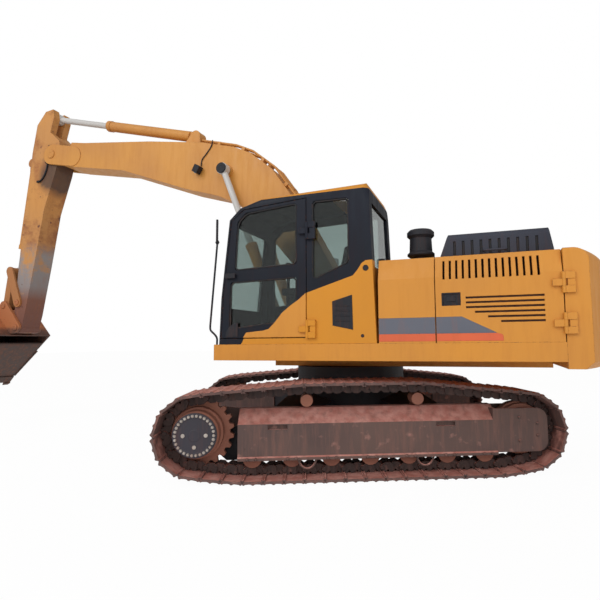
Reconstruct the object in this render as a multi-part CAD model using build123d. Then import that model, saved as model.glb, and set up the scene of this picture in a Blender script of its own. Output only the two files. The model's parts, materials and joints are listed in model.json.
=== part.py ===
from build123d import *
import math
import os

# Crawler excavator of the 21 tonne class, in millimetres.
# While it is being built, +X is forward, +Y left and +Z up, with the slewing axis over X = Y = 0
# and the ground at Z = 0. The upper structure lies along the axes. The undercarriage is turned under it.

# Clearances
seat_gap = 0.3            # pieces that rest against each other
pin_gap = 0.3             # side play of eyes and forks
moving_gap = 8.0          # pieces that pass each other
door_gap = 8.0            # round a door in its opening

# Undercarriage
slew_at_rest = 22.0       # how far the undercarriage is turned under the upper structure, degrees
wheelbase = 3270.0
track_gauge = 2200.0
shoe_width = 600.0
shoe_count = 44
shoe_overlap_gap = 6.0    # between neighbouring shoes
shoe_plate = 11.0
grouser_height = 26.0
grouser_root = 30.0       # width at the plate and at the tip
grouser_tip = 10.0
link_outer = 46.0         # chain pin to the shoe's inner face
link_inner = 48.0         # chain pin to the rail face that the wheels run on
link_width = 42.0
link_offset = 72.0        # middle of a link rail from the middle of the track
link_spacing = 190.0      # pin to pin, as the wheels take it
sprocket_pin_radius = 322.0
sprocket_height = 460.0
sprocket_teeth = 21
motor_radius = 150.0
sprocket_thickness = 56.0
tooth_height = 40.0
final_drive_radius = 225.0
final_drive_flange = 250.0
final_drive_face = 235.0  # outer face from the middle of the track
idler_pin_radius = 315.0
idler_height = 438.0
idler_flange_height = 20.0
roller_radius = 78.0
roller_flange = 96.0
roller_flange_thickness = 14.0
roller_shaft = 30.0
roller_to_sprocket = 535.0  # first and last roller from the wheels' axes
roller_to_idler = 395.0
roller_count = 7
rail_play = 4.0           # wheels that do not carry the machine, to the rail
carrier_offset = 565.0
carrier_radius = 62.0
carrier_post = 32.0
carrier_post_gap = 8.0
track_top = 950.0         # grouser tips over the carrier rollers
flat_beyond_roller = 120.0

# Track frame section, across from the middle of the track, and height
frame_outer = 190.0
frame_inner = 170.0
frame_bottom = 200.0
frame_shoulder = 545.0
frame_crest = 680.0
frame_to_sprocket = 400.0  # the frame's ends from the wheels' axes
frame_to_idler = 290.0
channel_half_width = 136.0
channel_top = 335.0
frame_lip = 14.0           # ledge along the lower edge
frame_lip_height = 26.0
step_slot_places = (850.0, -820.0)
step_slot_length = 190.0
step_slot_height = 42.0
step_slot_depth = 30.0
yoke_thickness = 30.0
yoke_reach = 235.0        # past the idler's axis
yoke_height = 215.0       # half height

# Carbody and slewing bearing
carbody_bottom = 455.0
carbody_top = 860.0
carbody_radius = 690.0
bearing_bottom = 945.0
bearing_height = 105.0
bearing_radius = 665.0
bearing_bore = 520.0
leg_root_width = 620.0
leg_foot_width = 520.0
leg_to_frame_end = 475.0  # leg foot's middle from the frame's end
leg_root_spread = 330.0
leg_foot_bottom = 300.0
leg_foot_top = 560.0

# Upper frame
deck_front = 1140.0
deck_rear = -2310.0
deck_half_width = 1350.0
deck_bottom = 1151.0
deck_top = 1320.0
deck_plate = 24.0
skirt = 20.0
bay_half_width = 380.0    # open bay for the boom and its cylinders
bay_front = 860.0
bay_rear = -520.0
outrigger_thickness = 30.0
tail_radius = 2850.0

# Boom bracket and boom
boom_foot_height = 1760.0
bracket_thickness = 40.0
bracket_eye = 150.0
boom_half_width = 190.0
boom_plate = 16.0
boom_length = 5700.0
boom_angle = 28.2         # chord over the horizontal, in the rest pose
boom_eye = 135.0
boom_pin = 55.0
boom_end = 300.0          # the box girder stops this far from the arm's pin

# Arm
arm_length = 2900.0
arm_angle = -77.9         # chord, in the rest pose
arm_half_width = 160.0
arm_plate = 14.0
ear_thickness = 40.0

# Bucket
bucket_angle = -43.0      # from its hinge pin to the tooth tips, in the rest pose
bucket_half_width = 525.0
bucket_plate = 22.0
bucket_side = 25.0
bucket_tip = 1480.0
tooth_count = 5
tooth_width = 90.0
side_cutter = 18.0        # thickness on each side plate

# Cylinders
boom_cylinder_offset = 290.0
boom_barrel_radius = 73.0
boom_rod_radius = 42.0
arm_barrel_radius = 78.0
arm_rod_radius = 47.0
bucket_barrel_radius = 68.0
bucket_rod_radius = 40.0
rod_clearance = 0.5       # between a rod and the barrel that guides it
eye_width = 100.0
neck_length = 125.0       # from a barrel's foot pin to the barrel itself
neck_overlap = 30.0
bore_play = 10.0          # from the bore's bottom to a rod pushed all the way in
gland_length = 70.0
gland_rise = 8.0
boom_barrel_length = 1500.0
boom_rod_travel_in = 770.0
arm_barrel_length = 1750.0
arm_rod_travel_in = 745.0
bucket_barrel_length = 1480.0
bucket_rod_travel_in = 60.0

# Cab
cab_rear = -660.0
cab_front = 1110.0
cab_inner_side = 385.0
cab_outer_side = 1345.0
cab_floor = 1320.3
cab_roof = 2930.0
cab_wall = 45.0
cab_corner = 70.0         # radius of the corner posts and roof edges
door_rear = 62.0
hinge_radius = 16.0
hinge_play = 0.5
knuckle_height = 60.0
strap_length = 90.0
strap_thickness = 14.0
glass_thickness = 8.0
windscreen_low = 1720.0
windscreen_high = 2640.0
door_hinge = (door_rear - 10, cab_outer_side + hinge_radius + 6)
door_hinge_heights = (1470, 2480)

# Engine house
house_front = -680.0
house_seam = -1221.0
house_top = 2130.0
house_crease = 1930.0
house_lean = 60.0         # how far the side leans in above the crease
house_skin = 30.0
hood_front = -1250.0
hood_rear = -2285.0
hood_half_width = 1120.0
hood_rise = 250.0
hood_slope = 90.0
hood_edge = 55.0          # radius of its long top edges
hood_slot_count = 10
hood_slot_pitch = 82.0
hood_slot_width = 24.0
hood_slot_depth = 12.0
hood_slot_length = 150.0
hood_handle_span = 200.0
hood_handle_reach = 45.0
vent_count = 15
vent_pitch = 58.0
louvre_count = 6
louvre_pitch = 44.0
louvre_slot = 18.0
louvre_depth = 14.0
louvre_low = 1500.0
latch_depth = 16.0
latch_at = (-1365.0, 1720.0)
latch_size = (170.0, 120.0)
rear_hinge = (deck_rear + 4, deck_half_width + hinge_radius + 4)
rear_hinge_heights = (1480, 1830)
pre_cleaner_at = (-1045.0, 900.0)
fuel_tank_top = 2040.0
tool_box_top = 1680.0
rail_radius = 17.0
front_rail_top = 2300.0
tank_rail_top = 2400.0
pipe_radius = 14.0
pipe_rise = 42.0          # boom pipes over the boom's top plate


def rad(degrees):
    return math.radians(degrees)


def turn(point, degrees):
    """Turn an X, Z point about the origin, from +X towards +Z."""
    c = math.cos(rad(degrees))
    s = math.sin(rad(degrees))
    return (point[0] * c - point[1] * s, point[0] * s + point[1] * c)


def placed(point, origin, degrees):
    """A point given in a link's own frame, in the machine's X, Z plane."""
    x, z = turn(point, degrees)
    return (origin[0] + x, origin[1] + z)


def block(x0, x1, y0, y1, z0, z1):
    return Pos((x0 + x1) / 2, (y0 + y1) / 2, (z0 + z1) / 2) * Box(x1 - x0, y1 - y0, z1 - z0)


def side_extrude(sketch, y0, y1):
    """Extrude a sketch drawn in X, Z from y0 to y1."""
    side_plane = Plane(origin=(0, y1, 0), x_dir=(1, 0, 0), z_dir=(0, -1, 0))
    return side_plane * extrude(sketch, amount=y1 - y0)


def outline(points):
    return make_face(Polyline(*points, close=True))


def soft_outline(points, radius):
    """A closed outline with all its corners rounded."""
    face = make_face(Polyline(*points, close=True))
    return fillet(face.vertices(), radius)


def plate(points, y0, y1):
    return side_extrude(outline(points), y0, y1)


def hull(circles, y0, y1):
    """A plate whose edge is a belt round circles given as x, z, radius."""
    edges = [e for x, z, r in circles for e in (Pos(x, z) * Circle(r)).edges()]
    return side_extrude(make_hull(edges), y0, y1)


def drum(x, z, radius, y0, y1):
    """A round bar along Y."""
    return side_extrude(Pos(x, z) * Circle(radius), y0, y1)


def bar(start, end, radius, y):
    """A round bar between two X, Z points at one y."""
    length = math.dist(start, end)
    direction = ((end[0] - start[0]) / length, 0, (end[1] - start[1]) / length)
    return Plane(origin=(start[0], y, start[1]), z_dir=direction) * extrude(Circle(radius), amount=length)


def mirrored(shape):
    return mirror(shape, about=Plane.XZ)


def both_sides(shape):
    return [shape, mirrored(shape)]


# Undercarriage, drawn straight and turned at the end
track_middle = track_gauge / 2
ground_pin = link_outer + shoe_plate + grouser_height
roller_height = ground_pin + link_inner + seat_gap + roller_radius
top_pin = track_top - ground_pin
carrier_height = top_pin - link_inner - rail_play - carrier_radius
sprocket_at = wheelbase / 2
idler_at = -wheelbase / 2
frame_front = sprocket_at - frame_to_sprocket
frame_rear = idler_at + frame_to_idler
leg_spread = frame_front - leg_to_frame_end
roller_pitch = (wheelbase - roller_to_sprocket - roller_to_idler) / (roller_count - 1)
roller_places = [sprocket_at - roller_to_sprocket - i * roller_pitch for i in range(roller_count)]


def chain_path():
    """The chain pins' closed path, held tight round the wheels."""
    lower = roller_height - ground_pin
    upper = top_pin - carrier_height
    circles = [
        (sprocket_at, sprocket_height, sprocket_pin_radius),
        (idler_at, idler_height, idler_pin_radius),
        (carrier_offset, carrier_height, upper),
        (-carrier_offset, carrier_height, upper),
        (roller_places[0] + flat_beyond_roller, roller_height, lower),
        (roller_places[-1] - flat_beyond_roller, roller_height, lower),
    ]
    path = []
    for degree in range(360):
        c = math.cos(rad(degree))
        s = math.sin(rad(degree))
        x, z, r = max(circles, key=lambda k: k[0] * c + k[1] * s + k[2])
        path.append((x + r * c, z + r * s))
    return path


def chain_pins():
    """One point for each chain pin, evenly spaced along the path."""
    path = chain_path()
    path.append(path[0])
    lengths = [math.dist(a, b) for a, b in zip(path, path[1:])]
    pitch = sum(lengths) / shoe_count
    pins = []
    walked = 0.0
    for a, b, length in zip(path, path[1:], lengths):
        while len(pins) * pitch < walked + length and len(pins) < shoe_count:
            share = (len(pins) * pitch - walked) / length
            pins.append((a[0] + (b[0] - a[0]) * share, a[1] + (b[1] - a[1]) * share))
        walked += length
    return pins


def chain_offset(pins, distance):
    """A closed line at a distance outside the chain's links, with one corner at each pin."""
    corners = []
    count = len(pins)
    for i in range(count):
        before = pins[i - 1]
        here = pins[i]
        after = pins[(i + 1) % count]
        t1 = math.atan2(here[1] - before[1], here[0] - before[0])
        t2 = math.atan2(after[1] - here[1], after[0] - here[0])
        bend = (t2 - t1 + math.pi) % (2 * math.pi) - math.pi
        normal = t1 + bend / 2 - math.pi / 2
        reach = distance / math.cos(bend / 2)
        corners.append((here[0] + reach * math.cos(normal), here[1] + reach * math.sin(normal)))
    return corners


def shoe_profile(half):
    """One shoe's outer edge, along the link and outwards from its pins."""
    face = link_outer + shoe_plate
    tip = face + grouser_height
    return [
        (-half, link_outer),
        (-half, tip),
        (-half + grouser_root / 2, face),
        (-grouser_root / 2, face),
        (-grouser_tip / 2, tip),
        (grouser_tip / 2, tip),
        (grouser_root / 2, face),
        (half - grouser_root / 2, face),
        (half, tip),
        (half, link_outer),
    ]


def track():
    """A closed loop of shoes with two rows of link rails inside it."""
    pins = chain_pins()
    outer = []
    for a, b in zip(pins, pins[1:] + pins[:1]):
        pitch = math.dist(a, b)
        t = ((b[0] - a[0]) / pitch, (b[1] - a[1]) / pitch)
        n = (t[1], -t[0])
        middle = ((a[0] + b[0]) / 2, (a[1] + b[1]) / 2)
        for along, out in shoe_profile((pitch - shoe_overlap_gap) / 2):
            outer.append((middle[0] + t[0] * along + n[0] * out, middle[1] + t[1] * along + n[1] * out))
    inside = chain_offset(pins, link_outer)
    rail = chain_offset(pins, -link_inner)
    shoe_face = outline(outer) - outline(inside)
    rail_face = outline(inside) - outline(rail)
    half = shoe_width / 2
    shoes = side_extrude(shoe_face, -half, half)
    for side in (-1, 1):
        y = side * link_offset
        shoes += side_extrude(rail_face, y - link_width / 2, y + link_width / 2)
    return shoes


def sprocket():
    """Toothed ring, hub and the final drive's stepped housing on the outer side."""
    apothem = math.sqrt(sprocket_pin_radius ** 2 - (link_spacing / 2) ** 2)
    tip = apothem + link_outer - moving_gap
    root = tip - tooth_height
    points = []
    for i in range(sprocket_teeth):
        for share, radius in ((-0.34, root), (-0.14, tip), (0.14, tip), (0.34, root)):
            angle = 2 * math.pi * (i + share) / sprocket_teeth
            points.append((radius * math.cos(angle), radius * math.sin(angle)))
    half = sprocket_thickness / 2
    body = side_extrude(outline(points), -half, half)
    body += drum(0, 0, final_drive_flange, half, half + 75)
    body += drum(0, 0, final_drive_radius, half + 75, final_drive_face - 40)
    cap = extrude(Circle(final_drive_radius), amount=40, taper=35)
    body += Plane(origin=(0, final_drive_face - 40, 0), x_dir=(1, 0, 0), z_dir=(0, 1, 0)) * cap
    body += drum(0, 0, motor_radius, -frame_inner, -half)
    return Pos(sprocket_at, 0, sprocket_height) * body


def idler():
    """The front wheel, flanged between the link rails, on a short axle held by the yoke."""
    apothem = math.sqrt(idler_pin_radius ** 2 - (link_spacing / 2) ** 2)
    tread = apothem - link_inner - rail_play
    half = link_offset + link_width / 2 + 4
    flange_half = link_offset - link_width / 2 - 8
    wheel = drum(0, 0, tread, -half, half)
    wheel += drum(0, 0, tread + idler_flange_height, -flange_half, flange_half)
    for y0, y1 in ((-half, -half + 26), (half - 26, half)):
        wheel -= drum(0, 0, tread - 38, y0, y1)
    axle_half = frame_outer - yoke_thickness - seat_gap
    wheel += drum(0, 0, 62, -axle_half, axle_half)
    return Pos(idler_at, 0, idler_height) * wheel


def roller(x):
    """A double-flanged bottom roller with its fixed shaft."""
    half = link_offset + link_width / 2 + 3
    body = drum(x, roller_height, roller_radius, -half, half)
    for side in (-1, 1):
        inner = side * half
        outer = side * (half + roller_flange_thickness)
        body += drum(x, roller_height, roller_flange, min(inner, outer), max(inner, outer))
    shaft = channel_half_width - seat_gap
    body += drum(x, roller_height, roller_shaft, -shaft, shaft)
    return body


def carrier_roller(x):
    """A top roller on a stub shaft whose foot stands on the frame's crest."""
    half = link_offset + link_width / 2 + 3
    outer = -half - carrier_post_gap
    inner = outer - carrier_post
    foot = [
        (x - carrier_post, inner, frame_crest_at(inner) + seat_gap),
        (x - carrier_post, outer, frame_crest_at(outer) + seat_gap),
        (x - carrier_post, outer, carrier_height + 40),
        (x - carrier_post, inner, carrier_height + 40),
    ]
    post = extrude(make_face(Polyline(*foot, close=True)), amount=2 * carrier_post, dir=(1, 0, 0))
    body = drum(x, carrier_height, carrier_radius, -half, half)
    return body + post + drum(x, carrier_height, roller_shaft, outer, -half)


def frame_crest_at(y):
    """Height of the track frame's top at a distance across it."""
    if y < -60:
        share = (y + frame_inner) / (frame_inner - 60)
        return frame_shoulder + share * (frame_crest - frame_shoulder)
    return frame_crest


def rollers():
    pieces = [roller(x) for x in roller_places]
    pieces += [carrier_roller(x) for x in (carrier_offset, -carrier_offset)]
    return pieces


def track_frame():
    """A closed beam with a sloping top, an idler yoke at one end and the drive's mount at the other."""
    section = [
        (frame_outer + frame_lip, frame_bottom),
        (frame_outer + frame_lip, frame_bottom + frame_lip_height),
        (frame_outer, frame_bottom + frame_lip_height + frame_lip),
        (frame_outer, frame_shoulder),
        (40, frame_crest),
        (-60, frame_crest),
        (-frame_inner, frame_shoulder),
        (-frame_inner, frame_bottom),
        (-channel_half_width, frame_bottom),
        (-channel_half_width, channel_top),
        (channel_half_width, channel_top),
        (channel_half_width, frame_bottom),
    ]
    face = make_face(Polyline(*[(frame_rear, y, z) for y, z in section], close=True))
    beam = extrude(face, amount=frame_front - frame_rear, dir=(1, 0, 0))
    for x in step_slot_places:
        beam -= block(
            x - step_slot_length / 2,
            x + step_slot_length / 2,
            frame_outer - step_slot_depth,
            frame_outer + 5,
            frame_shoulder - step_slot_height - 10,
            frame_shoulder - 10,
        )
    for y0, y1 in ((frame_outer - yoke_thickness, frame_outer), (-frame_outer, yoke_thickness - frame_outer)):
        yoke = block(idler_at - yoke_reach, frame_rear, y0, y1, idler_height - yoke_height, idler_height + yoke_height)
        corners = [e for e in yoke.edges().filter_by(Axis.Y) if e.center().X < idler_at]
        beam += fillet(corners, 110)
    beam += block(frame_rear, frame_rear + 40, -frame_outer, frame_outer, channel_top, idler_height + yoke_height)
    mount = hull(
        [
            (sprocket_at, sprocket_height, final_drive_flange - 20),
            (frame_front - 60, idler_height - 60, 150),
            (frame_front - 60, idler_height + 60, 150),
        ],
        -frame_inner - 30,
        -frame_inner - seat_gap,
    )
    beam += mount + block(frame_front - 200, frame_front, -frame_inner - 30, -frame_inner, frame_bottom, frame_shoulder)
    return beam


def carbody():
    """The centre box, four spread legs and the ring that carries the slewing bearing."""
    leg_end = track_middle - frame_inner - seat_gap
    body = Pos(0, 0, (carbody_bottom + carbody_top) / 2) * Cylinder(carbody_radius, carbody_top - carbody_bottom)
    for fore in (-1, 1):
        root = Pos(fore * leg_root_spread, (carbody_bottom + carbody_top) / 2) * Rectangle(
            leg_root_width, carbody_top - carbody_bottom - 60
        )
        foot = Pos(fore * leg_spread, (leg_foot_bottom + leg_foot_top) / 2) * Rectangle(
            leg_foot_width, leg_foot_top - leg_foot_bottom
        )
        near = Plane(origin=(0, 300, 0), x_dir=(1, 0, 0), z_dir=(0, -1, 0))
        far = Plane(origin=(0, leg_end, 0), x_dir=(1, 0, 0), z_dir=(0, -1, 0))
        leg = loft([near * root, far * foot])
        for piece in both_sides(leg):
            body += piece
    ring_height = bearing_bottom - seat_gap - carbody_top
    body += Pos(0, 0, carbody_top + ring_height / 2) * Cylinder(bearing_radius, ring_height)
    return body


def swing_bearing():
    ring = Cylinder(bearing_radius, bearing_height) - Cylinder(bearing_bore, bearing_height)
    return Pos(0, 0, bearing_bottom + bearing_height / 2) * ring


# Upper structure
boom_foot = (0.0, boom_foot_height)
boom_tip = placed((boom_length, 0), boom_foot, boom_angle)
boom_cylinder_foot = (720.0, 1250.0)
boom_cylinder_head = placed((2450, 930), boom_foot, boom_angle)
arm_cylinder_foot = placed((3310, 1230), boom_foot, boom_angle)
arm_cylinder_head = placed((-660, 250), boom_tip, arm_angle)
bucket_cylinder_foot = placed((150, 560), boom_tip, arm_angle)
bucket_hinge = placed((arm_length, 0), boom_tip, arm_angle)
rocker_pivot = placed((arm_length - 400, 90), boom_tip, arm_angle)
rocker_head = placed((arm_length - 880, 400), boom_tip, arm_angle)
link_foot = placed((arm_length - 294, 359), boom_tip, arm_angle)
base_bottom = bearing_bottom + bearing_height + seat_gap


def deck_outline():
    """The deck seen from above, open at the front for the boom and its cylinders."""
    return [
        (deck_rear, -deck_half_width),
        (deck_front, -deck_half_width),
        (deck_front, -bay_half_width),
        (bay_rear, -bay_half_width),
        (bay_rear, bay_half_width),
        (deck_front, bay_half_width),
        (deck_front, deck_half_width),
        (deck_rear, deck_half_width),
    ]


def upper_frame():
    """Base plate, two side decks with their skirts, outriggers, and the boom's bracket plates."""
    deck = Pos(0, 0, deck_top - deck_plate) * extrude(outline(deck_outline()), amount=deck_plate)
    body = deck
    wall_top = deck_top - deck_plate
    for y0, y1 in ((bay_half_width, bay_half_width + skirt), (deck_half_width - skirt, deck_half_width)):
        body += block(deck_rear, deck_front, y0, y1, deck_bottom, wall_top)
        body += block(deck_rear, deck_front, -y1, -y0, deck_bottom, wall_top)
    for x in (deck_front - outrigger_thickness, 420, -300, -1050, -1800, deck_rear):
        for side in (-1, 1):
            inner = side * (bay_half_width + skirt)
            outer = side * (deck_half_width - skirt)
            body += block(x, x + outrigger_thickness, min(inner, outer), max(inner, outer), deck_bottom, wall_top)
    base = block(deck_rear, bay_front, -bay_half_width - skirt, bay_half_width + skirt, base_bottom, deck_bottom)
    body += base
    body += block(deck_rear, bay_rear, -bay_half_width, bay_half_width, deck_bottom, wall_top)
    bracket = [
        (boom_foot[0], boom_foot[1], bracket_eye),
        (-430, deck_bottom + 50, 60),
        (500, deck_bottom + 50, 60),
    ]
    inner = boom_half_width + pin_gap
    rib = hull(bracket, inner, inner + bracket_thickness)
    rib += drum(boom_foot[0], boom_foot[1], boom_pin + 22, inner + bracket_thickness, inner + bracket_thickness + 14)
    lug_inner = boom_cylinder_offset - eye_width / 2 - pin_gap
    lug_outer = boom_cylinder_offset + eye_width / 2 + pin_gap
    lug = [
        (boom_cylinder_foot[0], boom_cylinder_foot[1], 75),
        (boom_cylinder_foot[0] - 90, deck_bottom + 10, 20),
        (boom_cylinder_foot[0] + 90, deck_bottom + 10, 20),
    ]
    for y0, y1 in ((lug_inner - 26, lug_inner), (lug_outer, lug_outer + 26)):
        rib += hull(lug, y0, y1)
    for piece in both_sides(rib):
        body += piece
    return body


def boom_foot_pin():
    half = boom_half_width + pin_gap - 1
    return drum(boom_foot[0], boom_foot[1], boom_pin, -half, half)


def counterweight():
    """A cast block with a round tail, its top and lower edges softened."""
    front = deck_rear - seat_gap
    corner_x = -math.sqrt(tail_radius ** 2 - deck_half_width ** 2)
    plan = make_face(
        Wire(
            [
                Line((front, deck_half_width), (corner_x, deck_half_width)),
                ThreePointArc((corner_x, deck_half_width), (-tail_radius, 0), (corner_x, -deck_half_width)),
                Line((corner_x, -deck_half_width), (front, -deck_half_width)),
                Line((front, -deck_half_width), (front, deck_half_width)),
            ]
        )
    )
    bottom = deck_bottom - 60
    body = Pos(0, 0, bottom) * extrude(plan, amount=house_top - bottom)
    rear_edges = [e for e in body.edges() if e.center().X < corner_x - 50 and abs(e.center().Z - house_top) < 1]
    body = fillet(rear_edges, 110)
    lower_edges = [e for e in body.edges() if e.center().X < corner_x - 50 and abs(e.center().Z - bottom) < 1]
    body = chamfer(lower_edges, 60)
    for z in rear_hinge_heights:
        for piece in both_sides(fixed_knuckles(rear_hinge, z, deck_half_width)):
            body += piece
    return body


def cab_profile(inset):
    """The cab's side view, leaning back at the front and rounded at the brow."""
    return [
        (cab_rear + inset, cab_floor + inset),
        (cab_front - inset, cab_floor + inset),
        (cab_front - 20 - inset, cab_floor + 500),
        (995 - inset, 2690),
        (860 - inset * 0.8, 2815 - inset * 0.6),
        (580, 2895 - inset),
        (cab_rear + 90 + inset, cab_roof - inset),
        (cab_rear + 60 + inset, cab_roof - 70 - inset),
    ]


def window(points, y0, y1):
    return side_extrude(soft_outline(points, 40), y0, y1)


door_window_upper = [(170, 2140), (900, 2110), (870, 2640), (770, 2740), (170, 2790)]
door_window_lower = [(170, 1560), (960, 1480), (950, 1990), (170, 2010)]
quarter_window = [(0, 1960), (0, 2790), (-390, 2790), (-390, 2120)]


def door_edge(inset):
    return [
        (door_rear + inset, cab_floor + 60 + inset),
        (1060 - inset, cab_floor + 60 + inset),
        (1035 - inset, cab_floor + 560),
        (945 - inset, 2660),
        (800 - inset, 2780 - inset),
        (door_rear + inset, 2835 - inset),
    ]


def shifted(points, dx, dz):
    return [(x + dx, z + dz) for x, z in points]


def cab_holes():
    """The tools that cut the windows, as name and shape."""
    mid_inner = cab_inner_side - 5
    return {
        "quarter": window(quarter_window, cab_outer_side - cab_wall - 5, cab_outer_side + 5),
        "right": window(
            [(-480, 1900), (880, 1780), (860, 2640), (760, 2740), (-480, 2790)], mid_inner, mid_inner + cab_wall + 10
        ),
        "front": block(
            850, cab_front + 5, cab_inner_side + 75, cab_outer_side - 75, windscreen_low, windscreen_high
        ),
        "rear": block(
            cab_rear - 5, cab_rear + 130, cab_inner_side + 110, cab_outer_side - 110, 2080, 2740
        ),
    }


def cab_shell():
    """A hollow cab with its door opening and window openings cut."""
    outer = side_extrude(outline(cab_profile(0)), cab_inner_side, cab_outer_side)
    rim = [e for e in outer.edges() if e not in outer.edges().filter_by(Axis.Y)]
    rim = [e for e in rim if e.center().Z > cab_floor + cab_wall and e.center().X > cab_rear + cab_wall]
    outer = fillet(rim, cab_corner)
    inner = side_extrude(outline(cab_profile(cab_wall)), cab_inner_side + cab_wall, cab_outer_side - cab_wall)
    body = outer - inner
    for hole in cab_holes().values():
        body -= hole
    body -= plate(door_edge(0), cab_outer_side - cab_wall - 5, cab_outer_side + 5)
    for z in door_hinge_heights:
        body += fixed_knuckles(door_hinge, z, cab_outer_side)
    return body


def cab_glass():
    """One pane for each window opening, seated inside its edge."""
    holes = cab_holes()
    middle = cab_wall / 2
    shells = {
        "quarter": block(-700, 300, cab_outer_side - middle - 4, cab_outer_side - middle + 4, 1500, 2900),
        "right": block(-700, 1100, cab_inner_side + middle - 4, cab_inner_side + middle + 4, 1500, 2900),
        "front": side_extrude(
            outline(cab_profile(middle - 4)) - outline(cab_profile(middle + 4)), cab_inner_side, cab_outer_side
        ),
        "rear": side_extrude(
            outline(cab_profile(middle - 4)) - outline(cab_profile(middle + 4)), cab_inner_side, cab_outer_side
        ),
    }
    panes = []
    for name, hole in holes.items():
        panes += list((hole & shells[name]).solids())
    return panes


def cab_door():
    """The whole door: frame, mid rail, two window openings, handle and hinge knuckles."""
    y1 = cab_outer_side
    y0 = y1 - cab_wall
    body = plate(door_edge(door_gap), y0, y1)
    body -= window(door_window_upper, y0 - 5, y1 + 5)
    body -= window(door_window_lower, y0 - 5, y1 + 5)
    body += block(880, 990, y1, y1 + 30, 2035, 2075)
    for z in door_hinge_heights:
        body += moving_knuckle(door_hinge, z, cab_outer_side)
    return body


def moving_knuckle(axis, z, face):
    """A knuckle and its strap, which lies on the door's outer face in front of the hinge axis."""
    x, y = axis
    body = Pos(x, y, z) * Cylinder(hinge_radius, knuckle_height)
    half = knuckle_height / 2
    body += block(x, x + strap_length, y - strap_thickness / 2, y + strap_thickness / 2, z - half, z + half)
    body += block(x + strap_length / 3, x + strap_length, face, y, z - half, z + half)
    return body


def fixed_knuckles(axis, z, face):
    """The two outer knuckles of a hinge, with their straps on the wall behind the hinge axis."""
    x, y = axis
    step = knuckle_height + hinge_play
    body = block(x - strap_length, x - strap_length / 3, face, y, z - 1.5 * step, z + 1.5 * step)
    for middle in (z - step, z + step):
        half = knuckle_height / 2
        body += Pos(x, y, middle) * Cylinder(hinge_radius, knuckle_height)
        body += block(
            x - strap_length, x, y - strap_thickness / 2, y + strap_thickness / 2, middle - half, middle + half
        )
    return body


def cab_door_glass():
    y = cab_outer_side - cab_wall / 2
    panes = []
    for points in (door_window_upper, door_window_lower):
        panes.append(window(points, y - glass_thickness / 2, y + glass_thickness / 2))
    return panes


def operator_seat():
    """Cushion, backrest and headrest on a suspension base."""
    middle = (cab_inner_side + cab_outer_side) / 2
    floor = cab_floor + cab_wall + seat_gap
    base = block(-230, 190, middle - 190, middle + 190, floor, floor + 300)
    cushion = block(-250, 270, middle - 245, middle + 245, floor + 300, floor + 430)
    back = Pos(-255, middle, floor + 720) * Rot(0, -12, 0) * Box(120, 470, 640)
    head = Pos(-330, middle, floor + 1120) * Rot(0, -12, 0) * Box(90, 280, 200)
    return fillet((base + cushion).edges().filter_by(Axis.Z), 30) + back + head


def control_consoles():
    """Arm consoles with their levers, and the travel pedals with levers at the front."""
    middle = (cab_inner_side + cab_outer_side) / 2
    floor = cab_floor + cab_wall + seat_gap
    pieces = []
    for side in (-1, 1):
        y = middle + side * 330
        console = block(-120, 330, y - 55, y + 55, floor, floor + 470)
        console += block(-160, 380, y - 60, y + 60, floor + 470, floor + 540)
        console += Pos(330, y, floor + 540) * Cylinder(16, 190, align=(Align.CENTER, Align.CENTER, Align.MIN))
        console += Pos(330, y, floor + 730) * Cylinder(28, 90, align=(Align.CENTER, Align.CENTER, Align.MIN))
        pieces.append(console)
        pedal = block(620, 820, middle + side * 90 - 45, middle + side * 90 + 45, floor, floor + 60)
        pedal += Pos(700, middle + side * 90, floor + 60) * Cylinder(
            12, 500, align=(Align.CENTER, Align.CENTER, Align.MIN)
        )
        pieces.append(pedal)
    return pieces


def house_side(x0, x1, thickness):
    """A side panel between two stations, upright to the crease and leaning in above it."""
    y = deck_half_width
    z0 = deck_top + seat_gap
    section = [
        (y, z0),
        (y, house_crease),
        (y - house_lean, house_top),
        (y - house_lean - thickness, house_top),
        (y - thickness, house_crease),
        (y - thickness, z0),
    ]
    face = make_face(Polyline(*[(x0, a, b) for a, b in section], close=True))
    return extrude(face, amount=x1 - x0, dir=(1, 0, 0))


def side_door(x0, x1):
    """A swinging side panel with its vent slots, louvres and latch recess."""
    body = house_side(x0, x1, house_skin)
    outer = deck_half_width
    for i in range(vent_count):
        x = x1 - 78 - i * vent_pitch
        slot = block(x - 10, x + 10, outer - house_lean - house_skin - 20, outer + 5, 1905, 2085)
        body -= slot
    rear = x0 + 150
    front = x1 - 270
    rise = louvre_count * louvre_pitch
    for i in range(louvre_count):
        z = louvre_low + i * louvre_pitch
        cut_back = max(0.0, 0.45 - i * louvre_pitch / rise) * (front - rear)
        body -= block(rear, front - cut_back, outer - louvre_depth, outer + 5, z, z + louvre_slot)
    x, z = latch_at
    half_x = latch_size[0] / 2
    half_z = latch_size[1] / 2
    body -= block(x - half_x, x + half_x, outer - latch_depth, outer + 5, z - half_z, z + half_z)
    return body


def left_front_cover():
    """The fixed cover between the cab and the rear side door."""
    return house_side(house_seam + door_gap / 2, house_front - 2, house_skin)


def left_rear_door():
    body = side_door(deck_rear + door_gap, house_seam - door_gap / 2)
    for z in rear_hinge_heights:
        body += moving_knuckle(rear_hinge, z, deck_half_width)
    return body


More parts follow.
